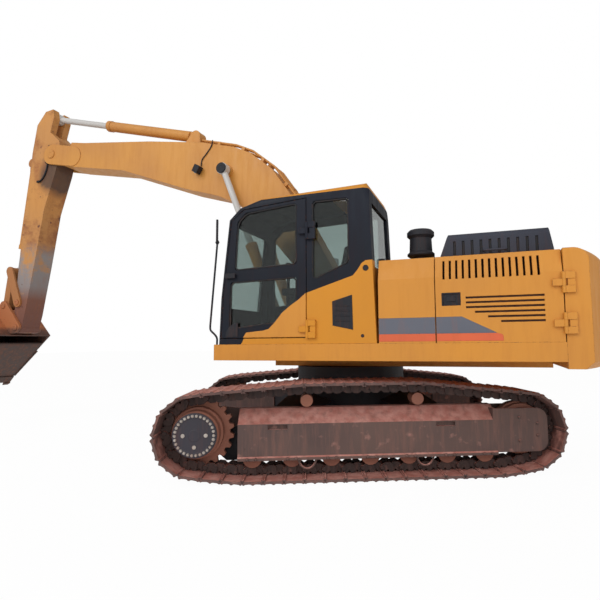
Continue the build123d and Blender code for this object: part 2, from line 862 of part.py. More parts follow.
def engine_house():
    """Bulkhead, roof frame round the engine opening, and the inner posts that carry the doors."""
    z0 = deck_top + seat_gap
    y = deck_half_width - house_lean - house_skin - 12
    body = block(house_front - 40, house_front, -bay_half_width, y - 40, z0, house_top)
    roof_z = house_top - 26
    roof = block(deck_rear + 4, house_front, -y, y, roof_z, house_top)
    opening = block(hood_rear + 60, hood_front - 60, -hood_half_width + 60, hood_half_width - 60, roof_z - 5, house_top + 5)
    body += roof - opening
    for x in (house_seam, deck_rear + 30):
        for side in (-1, 1):
            y0 = min(side * (y - 50), side * y)
            body += block(x - 25, x + 25, y0, y0 + 50, z0, roof_z)
    for place in hood_hinge_places:
        body += roof_knuckles(place)
    return body


hood_hinge = (hood_rear - 14, house_top + 30)
hood_hinge_places = (-700, 700)


def hood_knuckle(y):
    """The hood's own knuckle, with its strap to the rear wall."""
    x, z = hood_hinge
    half = knuckle_height / 2
    return drum(x, z, hinge_radius, y - half, y + half) + block(
        x, x + 32, y - half, y + half, z - hinge_radius / 2, z + hinge_radius / 2
    )


def roof_knuckles(y):
    """The two knuckles beside it, on straps that stand on the roof."""
    x, z = hood_hinge
    half = knuckle_height / 2
    body = None
    for side in (-1, 1):
        middle = y + side * (knuckle_height + hinge_play)
        piece = drum(x, z, hinge_radius, middle - half, middle + half)
        piece += block(x - 7, x + 9, middle - half, middle + half, house_top - 10, z)
        body = piece if body is None else body + piece
    return body


def hood_handle(middle, side, z0):
    """A bent bar on the hood's side, to lift it by."""
    y = side * (hood_half_width - hood_slot_depth - 4)
    reach = side * (hood_half_width + hood_handle_reach)
    z = z0 + 60
    half = hood_handle_span / 2
    points = [(middle - half, y, z), (middle - half, reach, z), (middle + half, reach, z), (middle + half, y, z)]
    return handrail_pipe(points, 10, 25)


def hood():
    """A raised engine cover with sloping ends, hollow beneath."""
    z0 = house_top + seat_gap
    outer = [
        (hood_front, z0),
        (hood_front - hood_slope, z0 + hood_rise),
        (hood_rear + hood_slope / 2, z0 + hood_rise),
        (hood_rear, z0),
    ]
    inner = [
        (hood_front - house_skin, z0 - 5),
        (hood_front - hood_slope - house_skin, z0 + hood_rise - house_skin),
        (hood_rear + hood_slope / 2 + house_skin, z0 + hood_rise - house_skin),
        (hood_rear + house_skin, z0 - 5),
    ]
    body = plate(outer, -hood_half_width, hood_half_width)
    long_edges = [e for e in body.edges() if abs(e.center().Z - z0 - hood_rise) < 1 and abs(e.center().Y) > 1]
    body = fillet(long_edges, hood_edge)
    body -= plate(inner, -hood_half_width + house_skin, hood_half_width - house_skin)
    middle = (hood_front + hood_rear) / 2
    low = z0 + (hood_rise - hood_edge - hood_slot_length) / 2
    for i in range(hood_slot_count):
        x = middle + (i - (hood_slot_count - 1) / 2) * hood_slot_pitch
        slot = block(
            x - hood_slot_width / 2,
            x + hood_slot_width / 2,
            hood_half_width - hood_slot_depth,
            hood_half_width + 5,
            low,
            low + hood_slot_length,
        )
        for piece in both_sides(slot):
            body -= piece
    for side in (-1, 1):
        body += hood_handle(middle, side, z0)
    for place in hood_hinge_places:
        body += hood_knuckle(place)
    return body


def engine_block():
    z0 = deck_top + seat_gap
    return block(-2150, -1500, -420, 420, z0, 1980)


def radiator():
    z0 = deck_top + seat_gap
    return block(-2150, -1450, 700, 860, z0, 2050)


def pre_cleaner():
    """A round air pre-cleaner with a wide cap on its neck."""
    half_section = [
        (0, 0), (75, 0), (75, 70), (122, 78), (140, 92), (140, 110), (118, 130), (112, 270),
        (140, 296), (140, 335), (118, 358), (0, 362),
    ]
    form = revolve(Plane.XZ * outline(half_section), axis=Axis.Z)
    x, y = pre_cleaner_at
    return Pos(x, y, house_top + seat_gap) * form


def exhaust_pipe():
    """A round silencer outlet behind the engine cover, bent to the rear at its top."""
    z0 = house_top + seat_gap
    up = (Align.CENTER, Align.CENTER, Align.MIN)
    pipe = Pos(-950, -850, z0) * (Cylinder(62, 430, align=up) - Pos(0, 0, 30) * Cylinder(56, 400, align=up))
    return pipe + Pos(-950, -850, z0) * (Cylinder(85, 30, align=up) - Cylinder(62, 30, align=up))


def fuel_tank():
    z0 = deck_top + seat_gap
    tank = block(-330, 420, -deck_half_width + 10, -bay_half_width - 30, z0, fuel_tank_top)
    return fillet(tank.edges().filter_by(Axis.Z), 60)


def hydraulic_tank():
    z0 = deck_top + seat_gap
    tank = block(-670, -340, -deck_half_width + 10, -bay_half_width - 30, z0, 2120)
    return fillet(tank.edges().filter_by(Axis.Z), 40)


def tool_box():
    """The low front box that also serves as the step to the right side."""
    z0 = deck_top + seat_gap
    body = block(430, deck_front - 20, -deck_half_width + 10, -bay_half_width - 90, z0, tool_box_top)
    body -= block(860, deck_front, -deck_half_width, -bay_half_width - 80, 1500, tool_box_top + 5)
    return body


def handrail_pipe(points, radius, bend=90):
    path = FilletPolyline(*points, radius=bend)
    start = path @ 0
    return sweep(Plane(origin=start, z_dir=path % 0) * Circle(radius), path=path)


def handrails():
    """The bent pipe rails on the right front box and along the tank."""
    y = -deck_half_width + 60
    foot = tool_box_top + seat_gap
    top = front_rail_top
    front = [(760, y, foot), (760, y, top), (480, y, top), (480, y, foot)]
    foot = fuel_tank_top + seat_gap
    top = tank_rail_top
    tank = [(360, y, foot), (360, y, top), (-280, y, top), (-280, y, foot)]
    return [handrail_pipe(front, rail_radius), handrail_pipe(tank, rail_radius)]


def mirrors():
    """A mirror on its stay at the cab's front corner, and one on the right handrail."""
    y = cab_outer_side - 30
    x = deck_front - 15
    foot = deck_top + seat_gap
    left = handrail_pipe([(x, y, foot), (x, y, 1400), (x + 90, y, 1490), (x + 12, y, 2440)], 11, 40)
    left += Pos(x + 12, y + 20, 2560) * Box(28, 190, 300)
    y = -deck_half_width + 60
    foot = front_rail_top + rail_radius + seat_gap
    right = Pos(620, y, foot) * Cylinder(10, 120, align=(Align.CENTER, Align.CENTER, Align.MIN))
    right += Pos(620, y, foot + 220) * Box(28, 180, 280)
    return [left, right]


# Boom group
boom_side = [
    (-40, -120), (130, -125), (1880, 580), (2050, 585), (2420, 570), (2950, 460), (3600, 370), (4180, 290),
    (boom_length - 500, -30), (boom_length - boom_end, -75), (boom_length - boom_end, 320),
    (boom_length - 560, 405), (3960, 855), (3050, 1165), (2530, 1285),
    (2240, 1300), (1820, 1220), (1270, 950), (100, 190), (-100, 110),
]
boom_crest = [(1270, 950), (1820, 1220), (2240, 1300), (2530, 1285), (3050, 1165)]
pipe_route = [(1350, 990), (1820, 1224), (2240, 1304), (2530, 1289), (3100, 1158)]
pipe_pair = 110.0         # middle of a pair of pipes from the boom's middle
boom_cavity = [
    (330, 20), (1860, 620), (2420, 620), (2970, 510), (4190, 340), (boom_length - 600, 50),
    (boom_length - 600, 360), (3950, 810), (3040, 1115), (2520, 1235), (2250, 1250), (1850, 1170),
    (1300, 900), (330, 270),
]


def boom_frame(shape):
    """Carry a shape drawn along the boom's chord into its rest pose."""
    return Pos(boom_foot[0], 0, boom_foot[1]) * Rot(0, -boom_angle, 0) * shape


def boom():
    """A box girder bent at its knee, with foot eye, tip fork, cylinder bosses and arm cylinder lugs."""
    w = boom_half_width
    body = plate(boom_side, -w, w)
    body -= plate(boom_cavity, boom_plate - w, w - boom_plate)
    body += drum(0, 0, boom_eye, -w, w)
    body -= drum(0, 0, boom_pin + seat_gap, -w - 5, w + 5)
    fork_inner = arm_half_width + pin_gap
    fork_outer = fork_inner + ear_thickness
    tip = [(boom_length, 0, 165), (boom_length - 400, 130, 150), (boom_length - 450, 130, 160)]
    for y0, y1 in ((fork_inner, fork_outer), (-fork_outer, -fork_inner)):
        body += hull(tip, y0, y1)
    body -= drum(boom_length, 0, boom_end, -fork_inner, fork_inner)
    lug = [(3310, 1230, 80), (3180, 1100, 30), (3400, 1000, 30)]
    lug_inner = eye_width / 2 + pin_gap
    for y0, y1 in ((lug_inner, lug_inner + 30), (-lug_inner - 30, -lug_inner)):
        body += hull(lug, y0, y1)
    body += drum(2450, 930, 90, -w - 20, w + 20)
    return boom_frame(body)


def boom_pipes():
    """Two pairs of steel pipes over the boom's top plate, each pair held by clamp blocks."""
    pieces = []
    spread = 30.0
    for y in (-pipe_pair, pipe_pair):
        pair = None
        for offset in (y - spread, y + spread):
            points = [(u, offset, w + pipe_rise) for u, w in pipe_route]
            pipe = handrail_pipe(points, pipe_radius, 120)
            pair = pipe if pair is None else pair + pipe
        for (u0, w0), (u1, w1) in zip(boom_crest, boom_crest[1:]):
            slope = math.degrees(math.atan2(w1 - w0, u1 - u0))
            clamp = Pos(0, 0, seat_gap) * Box(
                50, 2 * spread + 50, pipe_rise + 12, align=(Align.CENTER, Align.CENTER, Align.MIN)
            )
            pair += Pos((u0 + u1) / 2, y, (w0 + w1) / 2) * Rot(0, -slope, 0) * clamp
        pieces.append(boom_frame(pair))
    return pieces


def work_lamp():
    lamp = Pos(2880, boom_half_width + 60, 780) * Box(90, 90, 110)
    lamp += Pos(2880, boom_half_width + 8, 780) * Box(60, 15.4, 60)
    return boom_frame(lamp)


def along(start, end, distance):
    """The X, Z point at a distance from start towards end."""
    share = distance / math.dist(start, end)
    return (start[0] + (end[0] - start[0]) * share, start[1] + (end[1] - start[1]) * share)


def cylinder_barrel(foot, head, radius, length, y):
    """A barrel with its foot eye and the wider gland at its mouth."""
    mouth = along(foot, head, length)
    body = bar(along(foot, head, neck_length), mouth, radius, y)
    body += bar(along(foot, head, length - gland_length), mouth, radius + gland_rise, y)
    neck_end = along(foot, head, neck_length + neck_overlap)
    neck = [(foot[0], foot[1], radius), (neck_end[0], neck_end[1], radius * 0.7)]
    return body + hull(neck, y - eye_width / 2, y + eye_width / 2)


def cylinder(foot, head, barrel_radius, rod_radius, barrel_length, travel_in, y):
    """A barrel and its rod as they stand in the rest pose, with room for the rod to travel in."""
    bottom = neck_length + neck_overlap
    barrel = cylinder_barrel(foot, head, barrel_radius, barrel_length, y)
    barrel -= bar(along(foot, head, bottom), head, rod_radius + rod_clearance, y)
    eye = rod_radius * 1.9
    rod_start = along(foot, head, bottom + bore_play + travel_in)
    rod_end = along(head, foot, eye * 0.6)
    rod = bar(rod_start, rod_end, rod_radius, y)
    rod += drum(head[0], head[1], eye, y - eye_width / 2, y + eye_width / 2)
    return barrel, rod


def arm_frame(shape):
    return Pos(boom_tip[0], 0, boom_tip[1]) * Rot(0, -arm_angle, 0) * shape


arm_side = [
    (-250, -60), (-380, 175), (-640, 160), (-770, 215), (-720, 370), (-480, 500), (0, 480), (350, 430),
    (860, 390), (1400, 325), (arm_length - 550, 185), (arm_length + 60, 80), (arm_length + 60, -85),
    (arm_length - 240, -100), (1800, -80), (930, -45), (250, -120), (-120, -120),
]
arm_cavity = [
    (220, -60), (900, 10), (arm_length - 600, -40), (arm_length - 600, 140), (1400, 270), (860, 335), (220, 385),
]


def arm():
    """A tapering box girder with its tail fork, boom boss, cylinder lugs and tip eye."""
    w = arm_half_width
    body = plate(arm_side, -w, w)
    body -= plate(arm_cavity, arm_plate - w, w - arm_plate)
    body += drum(0, 0, 165, -w, w)
    slot = eye_width / 2 + pin_gap
    body -= block(-1100, -330, -slot, slot, -200, 620)
    lug = [(150, 560, 75), (20, 420, 30), (250, 400, 30)]
    for y0, y1 in ((slot, slot + 28), (-slot - 28, -slot)):
        body += hull(lug, y0, y1)
    body += drum(arm_length, 0, 95, -w, w)
    body += drum(arm_length - 400, 90, 80, -w, w)
    return arm_frame(body)


def rocker_links():
    """Two side plates that swing on the arm and carry the bucket cylinder's pin."""
    inner = arm_half_width + pin_gap
    plates = hull(
        [(rocker_pivot[0], rocker_pivot[1], 75), (rocker_head[0], rocker_head[1], 70)], inner, inner + 30
    )
    return both_sides(plates)


def bucket_link():
    """The link from the rocker's head to the bucket, forked round the cylinder's eye."""
    slot = eye_width / 2 + pin_gap
    outer = arm_half_width
    body = hull([(link_foot[0], link_foot[1], 62), (rocker_head[0], rocker_head[1], 62)], -outer, outer)
    direction = (rocker_head[0] - link_foot[0], rocker_head[1] - link_foot[1])
    near = (link_foot[0] + direction[0] * 0.42, link_foot[1] + direction[1] * 0.42)
    far = (link_foot[0] + direction[0] * 1.3, link_foot[1] + direction[1] * 1.3)
    body -= hull([(near[0], near[1], 90), (far[0], far[1], 90)], -slot, slot)
    return body


def bucket_frame(shape):
    return Pos(bucket_hinge[0], 0, bucket_hinge[1]) * Rot(0, -bucket_angle, 0) * shape


def bucket_outline(inset):
    """The bucket's side view from the mouth's upper edge, round the back to the lip."""
    i = inset
    mouth_top = (150 + i, -30)
    shoulder = (150 + i, 560 - 0.28 * i)
    crown = (430 + 0.33 * i, 870 - 0.94 * i)
    heel = (940 - 0.81 * i, 700 - 0.59 * i)
    lip = (1330 - i * 1.1, 20 + i * 0.2)
    edges = Wire(
        [
            Line(mouth_top, shoulder),
            ThreePointArc(shoulder, crown, heel),
            Line(heel, lip),
            Line(lip, mouth_top),
        ]
    )
    return make_face(edges)


def bucket():
    """A welded shell, open at its mouth, with side plates and two hinge ears."""
    w = bucket_half_width
    shell = side_extrude(bucket_outline(0), -w, w)
    hollow = side_extrude(bucket_outline(bucket_plate), bucket_side - w, w - bucket_side)
    body = shell - hollow
    inner = arm_half_width + pin_gap
    link_point = turn((link_foot[0] - bucket_hinge[0], link_foot[1] - bucket_hinge[1]), -bucket_angle)
    ear = [(0, 0, 90), (link_point[0], link_point[1], 80), (150, 80, 60), (150, 440, 60)]
    for piece in both_sides(hull(ear, inner, inner + 40)):
        body += piece - hollow
    body -= hollow
    cutter = plate([(560, -28), (1250, 5), (1225, 190), (1060, 95), (600, 60)], w, w + side_cutter)
    for piece in both_sides(cutter):
        body += piece
    lip = plate([(1260, 0), (1400, -10), (1400, 14), (1275, 55)], -w, w)
    return bucket_frame(body + lip)


def bucket_teeth():
    """Five teeth along the lip."""
    w = bucket_half_width
    step = (2 * w - tooth_width) / (tooth_count - 1)
    pieces = []
    profile = [(1400.3, -28), (1400.3, 38), (1470, 12), (bucket_tip, 0), (1470, -8)]
    for i in range(tooth_count):
        y = -w + tooth_width / 2 + i * step
        pieces.append(bucket_frame(plate(profile, y - tooth_width / 2, y + tooth_width / 2)))
    return pieces


def turned_track_side(pieces, side):
    """Set left or right track pieces under the machine and turn them to the rest heading."""
    moved = []
    for piece in pieces:
        shape = piece if side > 0 else mirrored(piece)
        moved.append(Rot(0, 0, slew_at_rest) * Pos(0, side * track_middle, 0) * shape)
    return moved


def model():
    """All sub-parts by name, each a list of solids."""
    nodes = {}
    turn_under = Rot(0, 0, slew_at_rest)
    nodes["carbody"] = [turn_under * carbody()]
    nodes["swing_bearing"] = [swing_bearing()]
    one_side = {
        "track": [track()],
        "track_frame": [track_frame()],
        "sprocket": [sprocket()],
        "idler": [idler()],
        "rollers": rollers(),
    }
    for name, pieces in one_side.items():
        nodes[name + "_left"] = turned_track_side(pieces, 1)
        nodes[name + "_right"] = turned_track_side(pieces, -1)

    nodes["upper_frame"] = [upper_frame()]
    nodes["counterweight"] = [counterweight()]
    nodes["cab_shell"] = [cab_shell()]
    nodes["cab_glass"] = cab_glass()
    nodes["cab_door"] = [cab_door()]
    nodes["cab_door_glass"] = cab_door_glass()
    nodes["operator_seat"] = [operator_seat()]
    nodes["control_consoles"] = control_consoles()
    nodes["left_front_cover"] = [left_front_cover()]
    nodes["left_rear_door"] = [left_rear_door()]
    nodes["right_front_cover"] = [mirrored(left_front_cover())]
    nodes["right_rear_door"] = [mirrored(left_rear_door())]
    nodes["engine_house"] = [engine_house()]
    nodes["hood"] = [hood()]
    nodes["engine_block"] = [engine_block()]
    nodes["radiator"] = [radiator()]
    nodes["pre_cleaner"] = [pre_cleaner()]
    nodes["exhaust_pipe"] = [exhaust_pipe()]
    nodes["fuel_tank"] = [fuel_tank()]
    nodes["hydraulic_tank"] = [hydraulic_tank()]
    nodes["tool_box"] = [tool_box()]
    nodes["handrails"] = handrails()
    nodes["mirrors"] = mirrors()

    nodes["boom"] = [boom()]
    nodes["boom_pin"] = [boom_foot_pin()]
    nodes["boom_pipes"] = boom_pipes()
    nodes["work_lamp"] = [work_lamp()]
    barrel, rod = cylinder(
        boom_cylinder_foot,
        boom_cylinder_head,
        boom_barrel_radius,
        boom_rod_radius,
        boom_barrel_length,
        boom_rod_travel_in,
        boom_cylinder_offset,
    )
    nodes["boom_cylinder_barrels"] = both_sides(barrel)
    nodes["boom_cylinder_rods"] = both_sides(rod)
    nodes["arm"] = [arm()]
    barrel, rod = cylinder(
        arm_cylinder_foot,
        arm_cylinder_head,
        arm_barrel_radius,
        arm_rod_radius,
        arm_barrel_length,
        arm_rod_travel_in,
        0,
    )
    nodes["arm_cylinder_barrel"] = [barrel]
    nodes["arm_cylinder_rod"] = [rod]
    barrel, rod = cylinder(
        bucket_cylinder_foot,
        rocker_head,
        bucket_barrel_radius,
        bucket_rod_radius,
        bucket_barrel_length,
        bucket_rod_travel_in,
        0,
    )
    nodes["bucket_cylinder_barrel"] = [barrel]
    nodes["bucket_cylinder_rod"] = [rod]
    nodes["rocker_links"] = rocker_links()
    nodes["bucket_link"] = [bucket_link()]
    nodes["bucket"] = [bucket()]
    nodes["bucket_teeth"] = bucket_teeth()
    return nodes


def solids_of(pieces):
    return [solid for piece in pieces for solid in piece.solids()]


def origin_shift(nodes):
    """Move that puts the origin under the middle of the whole machine, on the ground."""
    whole = Compound(children=[s for pieces in nodes.values() for s in solids_of(pieces)])
    bounds = whole.bounding_box()
    return (-(bounds.min.X + bounds.max.X) / 2, -(bounds.min.Y + bounds.max.Y) / 2, -bounds.min.Z)


def export_all():
    os.makedirs("parts", exist_ok=True)
    nodes = model()
    shift = origin_shift(nodes)
    print("shift", [round(v, 3) for v in shift])
    for name, pieces in nodes.items():
        solids = [Pos(*shift) * s for s in solids_of(pieces)]
        shape = solids[0] if len(solids) == 1 else Compound(children=solids)
        export_step(shape, os.path.join("parts", name + ".step"))


export_all()
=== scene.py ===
import json
import logging
import math
from dataclasses import dataclass
from enum import Enum
from functools import partial
from typing import Sequence

import bmesh
import bpy
from mathutils import Euler, Matrix, Vector


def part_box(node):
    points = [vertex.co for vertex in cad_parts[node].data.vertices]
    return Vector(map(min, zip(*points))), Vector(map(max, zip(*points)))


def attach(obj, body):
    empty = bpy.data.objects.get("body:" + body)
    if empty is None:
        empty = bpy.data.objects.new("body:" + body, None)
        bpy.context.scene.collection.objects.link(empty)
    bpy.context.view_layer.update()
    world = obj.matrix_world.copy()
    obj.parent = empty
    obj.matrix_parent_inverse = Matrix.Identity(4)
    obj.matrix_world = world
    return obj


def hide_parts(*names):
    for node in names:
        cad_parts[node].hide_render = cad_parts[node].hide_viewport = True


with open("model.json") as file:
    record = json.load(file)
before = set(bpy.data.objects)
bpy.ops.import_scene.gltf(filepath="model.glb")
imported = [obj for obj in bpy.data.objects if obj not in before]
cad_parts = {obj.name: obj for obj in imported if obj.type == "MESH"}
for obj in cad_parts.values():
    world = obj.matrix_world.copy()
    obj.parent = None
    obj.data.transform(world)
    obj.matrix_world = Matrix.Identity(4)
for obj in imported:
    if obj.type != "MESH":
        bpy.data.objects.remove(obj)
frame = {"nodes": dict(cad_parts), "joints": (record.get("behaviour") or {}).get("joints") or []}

logging.basicConfig(level=logging.INFO, format="%(message)s")
log = logging.getLogger("excavator")

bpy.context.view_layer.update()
MM = 0.001

Point = tuple[float, float, float]
Flat = tuple[float, float]
Bands = tuple[tuple[float, str], ...]
Tree = bpy.types.NodeTree
Socket = bpy.types.NodeSocket
Draft = bmesh.types.BMesh
Piece = bpy.types.Object


def axis_of(joint: str) -> Vector:
    """The point that a joint of the record turns about, in the frame's metres."""
    return Vector(next(j["pos_m"] for j in frame["joints"] if j["name"] == joint))


SLEW_AXIS = Vector((*axis_of("slew").xy, 0.0))


class Body(Enum):
    """The moving bodies that pieces ride on."""

    UNDERCARRIAGE = "undercarriage"
    UPPER = "upper"
    CAB_DOOR = "cab_door"
    LEFT_DOOR = "left_rear_door"
    RIGHT_DOOR = "right_rear_door"
    HOOD = "hood"
    BOOM = "boom"
    ARM = "arm"
    BUCKET = "bucket"
    ROCKER = "rocker"
    BOOM_RODS = "boom_cylinder_rods"


def linear(colour: str) -> tuple[float, float, float, float]:
    """Turn an sRGB hex colour into Blender's linear colour.

    Args:
        colour: six hex digits after a hash sign.

    Returns:
        Red, green, blue and an alpha of one.
    """
    channels = [int(colour[i:i + 2], 16) / 255 for i in (1, 3, 5)]
    out = [c / 12.92 if c <= 0.04045 else ((c + 0.055) / 1.055) ** 2.4 for c in channels]
    return (out[0], out[1], out[2], 1.0)


def node(
    tree: Tree, kind: str, inputs: dict | Sequence = (), stops: Sequence = (), **settings,
) -> bpy.types.Node:
    """Add a node with its settings, its input values and the links that feed it.

    Args:
        tree: the node tree.
        kind: the node's type name.
        inputs: in order or by name, plain values, sockets, or nodes for their first output.
        stops: place and sRGB hex colour of each stop, on a colour ramp.
        settings: properties of the node itself.

    Returns:
        The new node.
    """
    made = tree.nodes.new(kind)
    for key, value in settings.items():
        setattr(made, key, value)
    for key, value in inputs.items() if isinstance(inputs, dict) else enumerate(inputs):
        if isinstance(value, bpy.types.Node):
            value = value.outputs[0]
        if isinstance(value, Socket):
            tree.links.new(value, made.inputs[key])
        else:
            made.inputs[key].default_value = value
    if stops:
        elements = made.color_ramp.elements
        while len(elements) < len(stops):
            elements.new(0.5)
        for element, (place, colour) in zip(elements, stops):
            element.position = place
            element.color = linear(colour)
    return made


@dataclass(frozen=True)
class Enamel:
    """Sprayed machine enamel that has been worked outdoors: faded, dusted, chipped at its edges.

    A semi-gloss coat over steel. Laterite dust lies in the lower parts and runs down in streaks,
    and the steel's rust shows where the coat is knocked off edges.
    """

    name: str
    colour: str
    faded: str
    dust: str = "#A5623F"
    rust: str = "#6B3F28"
    dustiness: float = 0.35
    wear: float = 0.5
    roughness: float = 0.42
    roughest: float = 0.75
    specular: float = 0.5
    fade_mm: float = 900.0
    chip_mm: float = 35.0
    streak_mm: float = 60.0
    streak_length: float = 0.12
    edge_mm: float = 6.0
    edge_band: Flat = (0.995, 0.85)
    edge_push: float = 0.3
    bump_mm: float = 2.0
    bump_strength: float = 0.08
    fade_band: Flat = (0.35, 0.7)
    dust_band: Flat = (0.48, 0.78)
    gloss_band: Flat = (0.3, 0.75)
    dust_low_mm: float = 900.0
    dust_top_mm: float = 2600.0
    dust_high: float = 0.25
    bare_above: float = 0.86
    bare_by_wear: float = 0.14
    bare_blend: float = 0.04

    def coat(self, tree: Tree, place: Socket, fade: Socket) -> Socket:
        """The clean coat's colour, faded in broad patches.

        Args:
            tree: the material's tree.
            place: Object coordinates; not used here.
            fade: a broad noise.

        Returns:
            The colour.
        """
        pair = tuple(zip(self.fade_band, (self.colour, self.faded)))
        return node(tree, "ShaderNodeValToRGB", (fade,), pair).outputs[0]

    def build(self) -> bpy.types.Material:
        """Make the material.

        Returns:
            A node material on Object coordinates.
        """
        material = bpy.data.materials.new(self.name)
        material.use_nodes = True
        tree = material.node_tree
        add = partial(node, tree)
        shader = tree.nodes["Principled BSDF"]
        shader.inputs["Specular IOR Level"].default_value = self.specular
        place = add("ShaderNodeTexCoord").outputs["Object"]
        fade = add("ShaderNodeTexNoise", {"Vector": place, "Scale": 1000 / self.fade_mm, "Detail": 4.0})
        coat = self.coat(tree, place, fade.outputs["Fac"])
        drawn = add("ShaderNodeMapping", {"Vector": place, "Scale": (1.0, 1.0, self.streak_length)})
        grain = {"Vector": drawn, "Scale": 1000 / self.streak_mm, "Detail": 6.0, "Roughness": 0.65}
        streaks = add("ShaderNodeTexNoise", grain)
        height = add("ShaderNodeSeparateXYZ", (place,)).outputs["Z"]
        span = (self.dust_low_mm * MM, self.dust_top_mm * MM)
        low = add("ShaderNodeMapRange", (height, *span, 1.0, self.dust_high))
        dust = add("ShaderNodeMapRange", (streaks, *self.dust_band, 0.0, self.dustiness))
        dust_here = add("ShaderNodeMath", (dust, low), operation="MULTIPLY")
        layers = {"Factor": dust_here, "A": coat, "B": linear(self.dust)}
        dusted = add("ShaderNodeMix", layers, data_type="RGBA")
        chips = add("ShaderNodeTexNoise", {"Vector": place, "Scale": 1000 / self.chip_mm, "Detail": 5.0})
        rounded = add("ShaderNodeBevel", {"Radius": self.edge_mm * MM}, samples=4)
        flat = add("ShaderNodeNewGeometry").outputs["Normal"]
        along = add("ShaderNodeVectorMath", (rounded, flat), operation="DOT_PRODUCT")
        edge = add("ShaderNodeMapRange", (along.outputs["Value"], *self.edge_band, 0.0, self.edge_push))
        gate = add("ShaderNodeMath", (chips, edge), operation="ADD")
        least = self.bare_above - self.bare_by_wear * self.wear
        bare = add("ShaderNodeMapRange", (gate, least, least + self.bare_blend))
        layers = {"Factor": bare, "A": dusted.outputs["Result"], "B": linear(self.rust)}
        worn = add("ShaderNodeMix", layers, data_type="RGBA")
        gloss = add("ShaderNodeMapRange", (streaks, *self.gloss_band, self.roughness, self.roughest))
        pitted = {"Height": chips, "Strength": self.bump_strength, "Distance": self.bump_mm * MM}
        bump = add("ShaderNodeBump", {**pitted, "Normal": rounded})
        tree.links.new(worn.outputs["Result"], shader.inputs["Base Color"])
        tree.links.new(gloss.outputs[0], shader.inputs["Roughness"])
        tree.links.new(bump.outputs[0], shader.inputs["Normal"])
        return material


@dataclass(frozen=True)
class ClayCoated(Enamel):
    """Undercarriage steel under dried laterite: grey-brown upright faces, red clay on what faces up."""

    clay: str = "#A9695D"
    clay_pale: str = "#C0897D"
    lump_mm: float = 90.0
    clay_band: Flat = (0.35, 0.65)
    held_band: Flat = (0.62, 0.95)

    def coat(self, tree: Tree, place: Socket, fade: Socket) -> Socket:
        """Grey-brown steel with clay where the surface faces up.

        Args:
            tree: the material's tree.
            place: Object coordinates.
            fade: a broad noise.

        Returns:
            The colour.
        """
        add = partial(node, tree)
        steel = super().coat(tree, place, fade)
        lumps = add("ShaderNodeTexNoise", {"Vector": place, "Scale": 1000 / self.lump_mm, "Detail": 6.0})
        pair = tuple(zip(self.clay_band, (self.clay, self.clay_pale)))
        caked = add("ShaderNodeValToRGB", (lumps,), pair)
        normal = add("ShaderNodeNewGeometry").outputs["Normal"]
        upward = add("ShaderNodeSeparateXYZ", (normal,)).outputs["Z"]
        held = add("ShaderNodeMath", (lumps, upward), operation="ADD")
        mask = add("ShaderNodeMapRange", (held, *self.held_band))
        mixed = add("ShaderNodeMix", {"Factor": mask, "A": steel, "B": caked}, data_type="RGBA")
        return mixed.outputs["Result"]


@dataclass(frozen=True)
class WornAndShadedInPlaces(Enamel):
    """Enamel that work has stripped by height, in patches that noise breaks up.

    The bands give what shows there: grey scoured steel and rust low on the arm; low on the bucket,
    dark dug earth, darkened further as painted shade under and inside the bucket. Grease may lie about one
    pin.
    """

    bands: Bands = ((0.0, "#6B3F28"), (1.0, "#6B3F28"))
    low_mm: float = 1400.0
    high_mm: float = 4600.0
    patch_mm: float = 420.0
    bare_from: float = 0.42
    bare_to: float = 0.56
    grease: str = "#33292A"
    grease_at_mm: Point = (0.0, 0.0, -90000.0)
    grease_reach_mm: float = 300.0
    grease_fade_mm: float = 130.0
    grease_most: float = 0.85
    ragged_by: float = 0.5
    push_low: float = 0.12
    push_high: float = -0.08

    def coat(self, tree: Tree, place: Socket, fade: Socket) -> Socket:
        """The coat with worn patches by height and grease about one point.

        Args:
            tree: the material's tree.
            place: Object coordinates.
            fade: a broad noise.

        Returns:
            The colour.
        """
        add = partial(node, tree)
        clean = super().coat(tree, place, fade)
        height = add("ShaderNodeSeparateXYZ", (place,)).outputs["Z"]
        share = add("ShaderNodeMapRange", (height, self.low_mm * MM, self.high_mm * MM))
        worn = add("ShaderNodeValToRGB", (share,), self.bands)
        grain = {"Vector": place, "Scale": 1000 / self.patch_mm, "Detail": 7.0, "Roughness": 0.7}
        patches = add("ShaderNodeTexNoise", grain)
        lower = add("ShaderNodeMapRange", {"Value": share, "To Min": self.push_low, "To Max": self.push_high})
        gate = add("ShaderNodeMath", (patches, lower), operation="ADD")
        bare = add("ShaderNodeMapRange", (gate, self.bare_from, self.bare_to))
        stripped = add("ShaderNodeMix", {"Factor": bare, "A": clean, "B": worn}, data_type="RGBA")
        spot = tuple(SLEW_AXIS + Vector(self.grease_at_mm) * MM)
        reach = add("ShaderNodeVectorMath", (place, spot), operation="DISTANCE").outputs["Value"]
        ragged = add("ShaderNodeMath", (patches, self.ragged_by), operation="MULTIPLY")
        near = add("ShaderNodeMath", (reach, ragged), operation="ADD")
        limit = self.grease_reach_mm
        span = (limit * MM, (limit + self.grease_fade_mm) * MM)
        black = add("ShaderNodeMapRange", (near, *span, self.grease_most, 0.0))
        layers = {"Factor": black, "A": stripped.outputs["Result"], "B": linear(self.grease)}
        return add("ShaderNodeMix", layers, data_type="RGBA").outputs["Result"]


def from_slew(joint: str, drop_mm: float = 0.0) -> Point:
    """A joint's axis in millimetres from the slewing axis.

    Args:
        joint: the joint's name.
        drop_mm: how far below the axis.

    Returns:
        X, nothing across, and Z.
    """
    at = (axis_of(joint) - SLEW_AXIS) / MM
    return (at.x, 0.0, at.z - drop_mm)


PAINT_LINE: tuple[Flat, ...] = (
    (-665, 2140), (-560, 2135), (-520, 2110), (-480, 2050), (-430, 1992), (-180, 1915), (60, 1840),
    (150, 1775), (250, 1710), (340, 1640), (420, 1545), (490, 1478), (560, 1462), (750, 1445), (800, 1340),
)


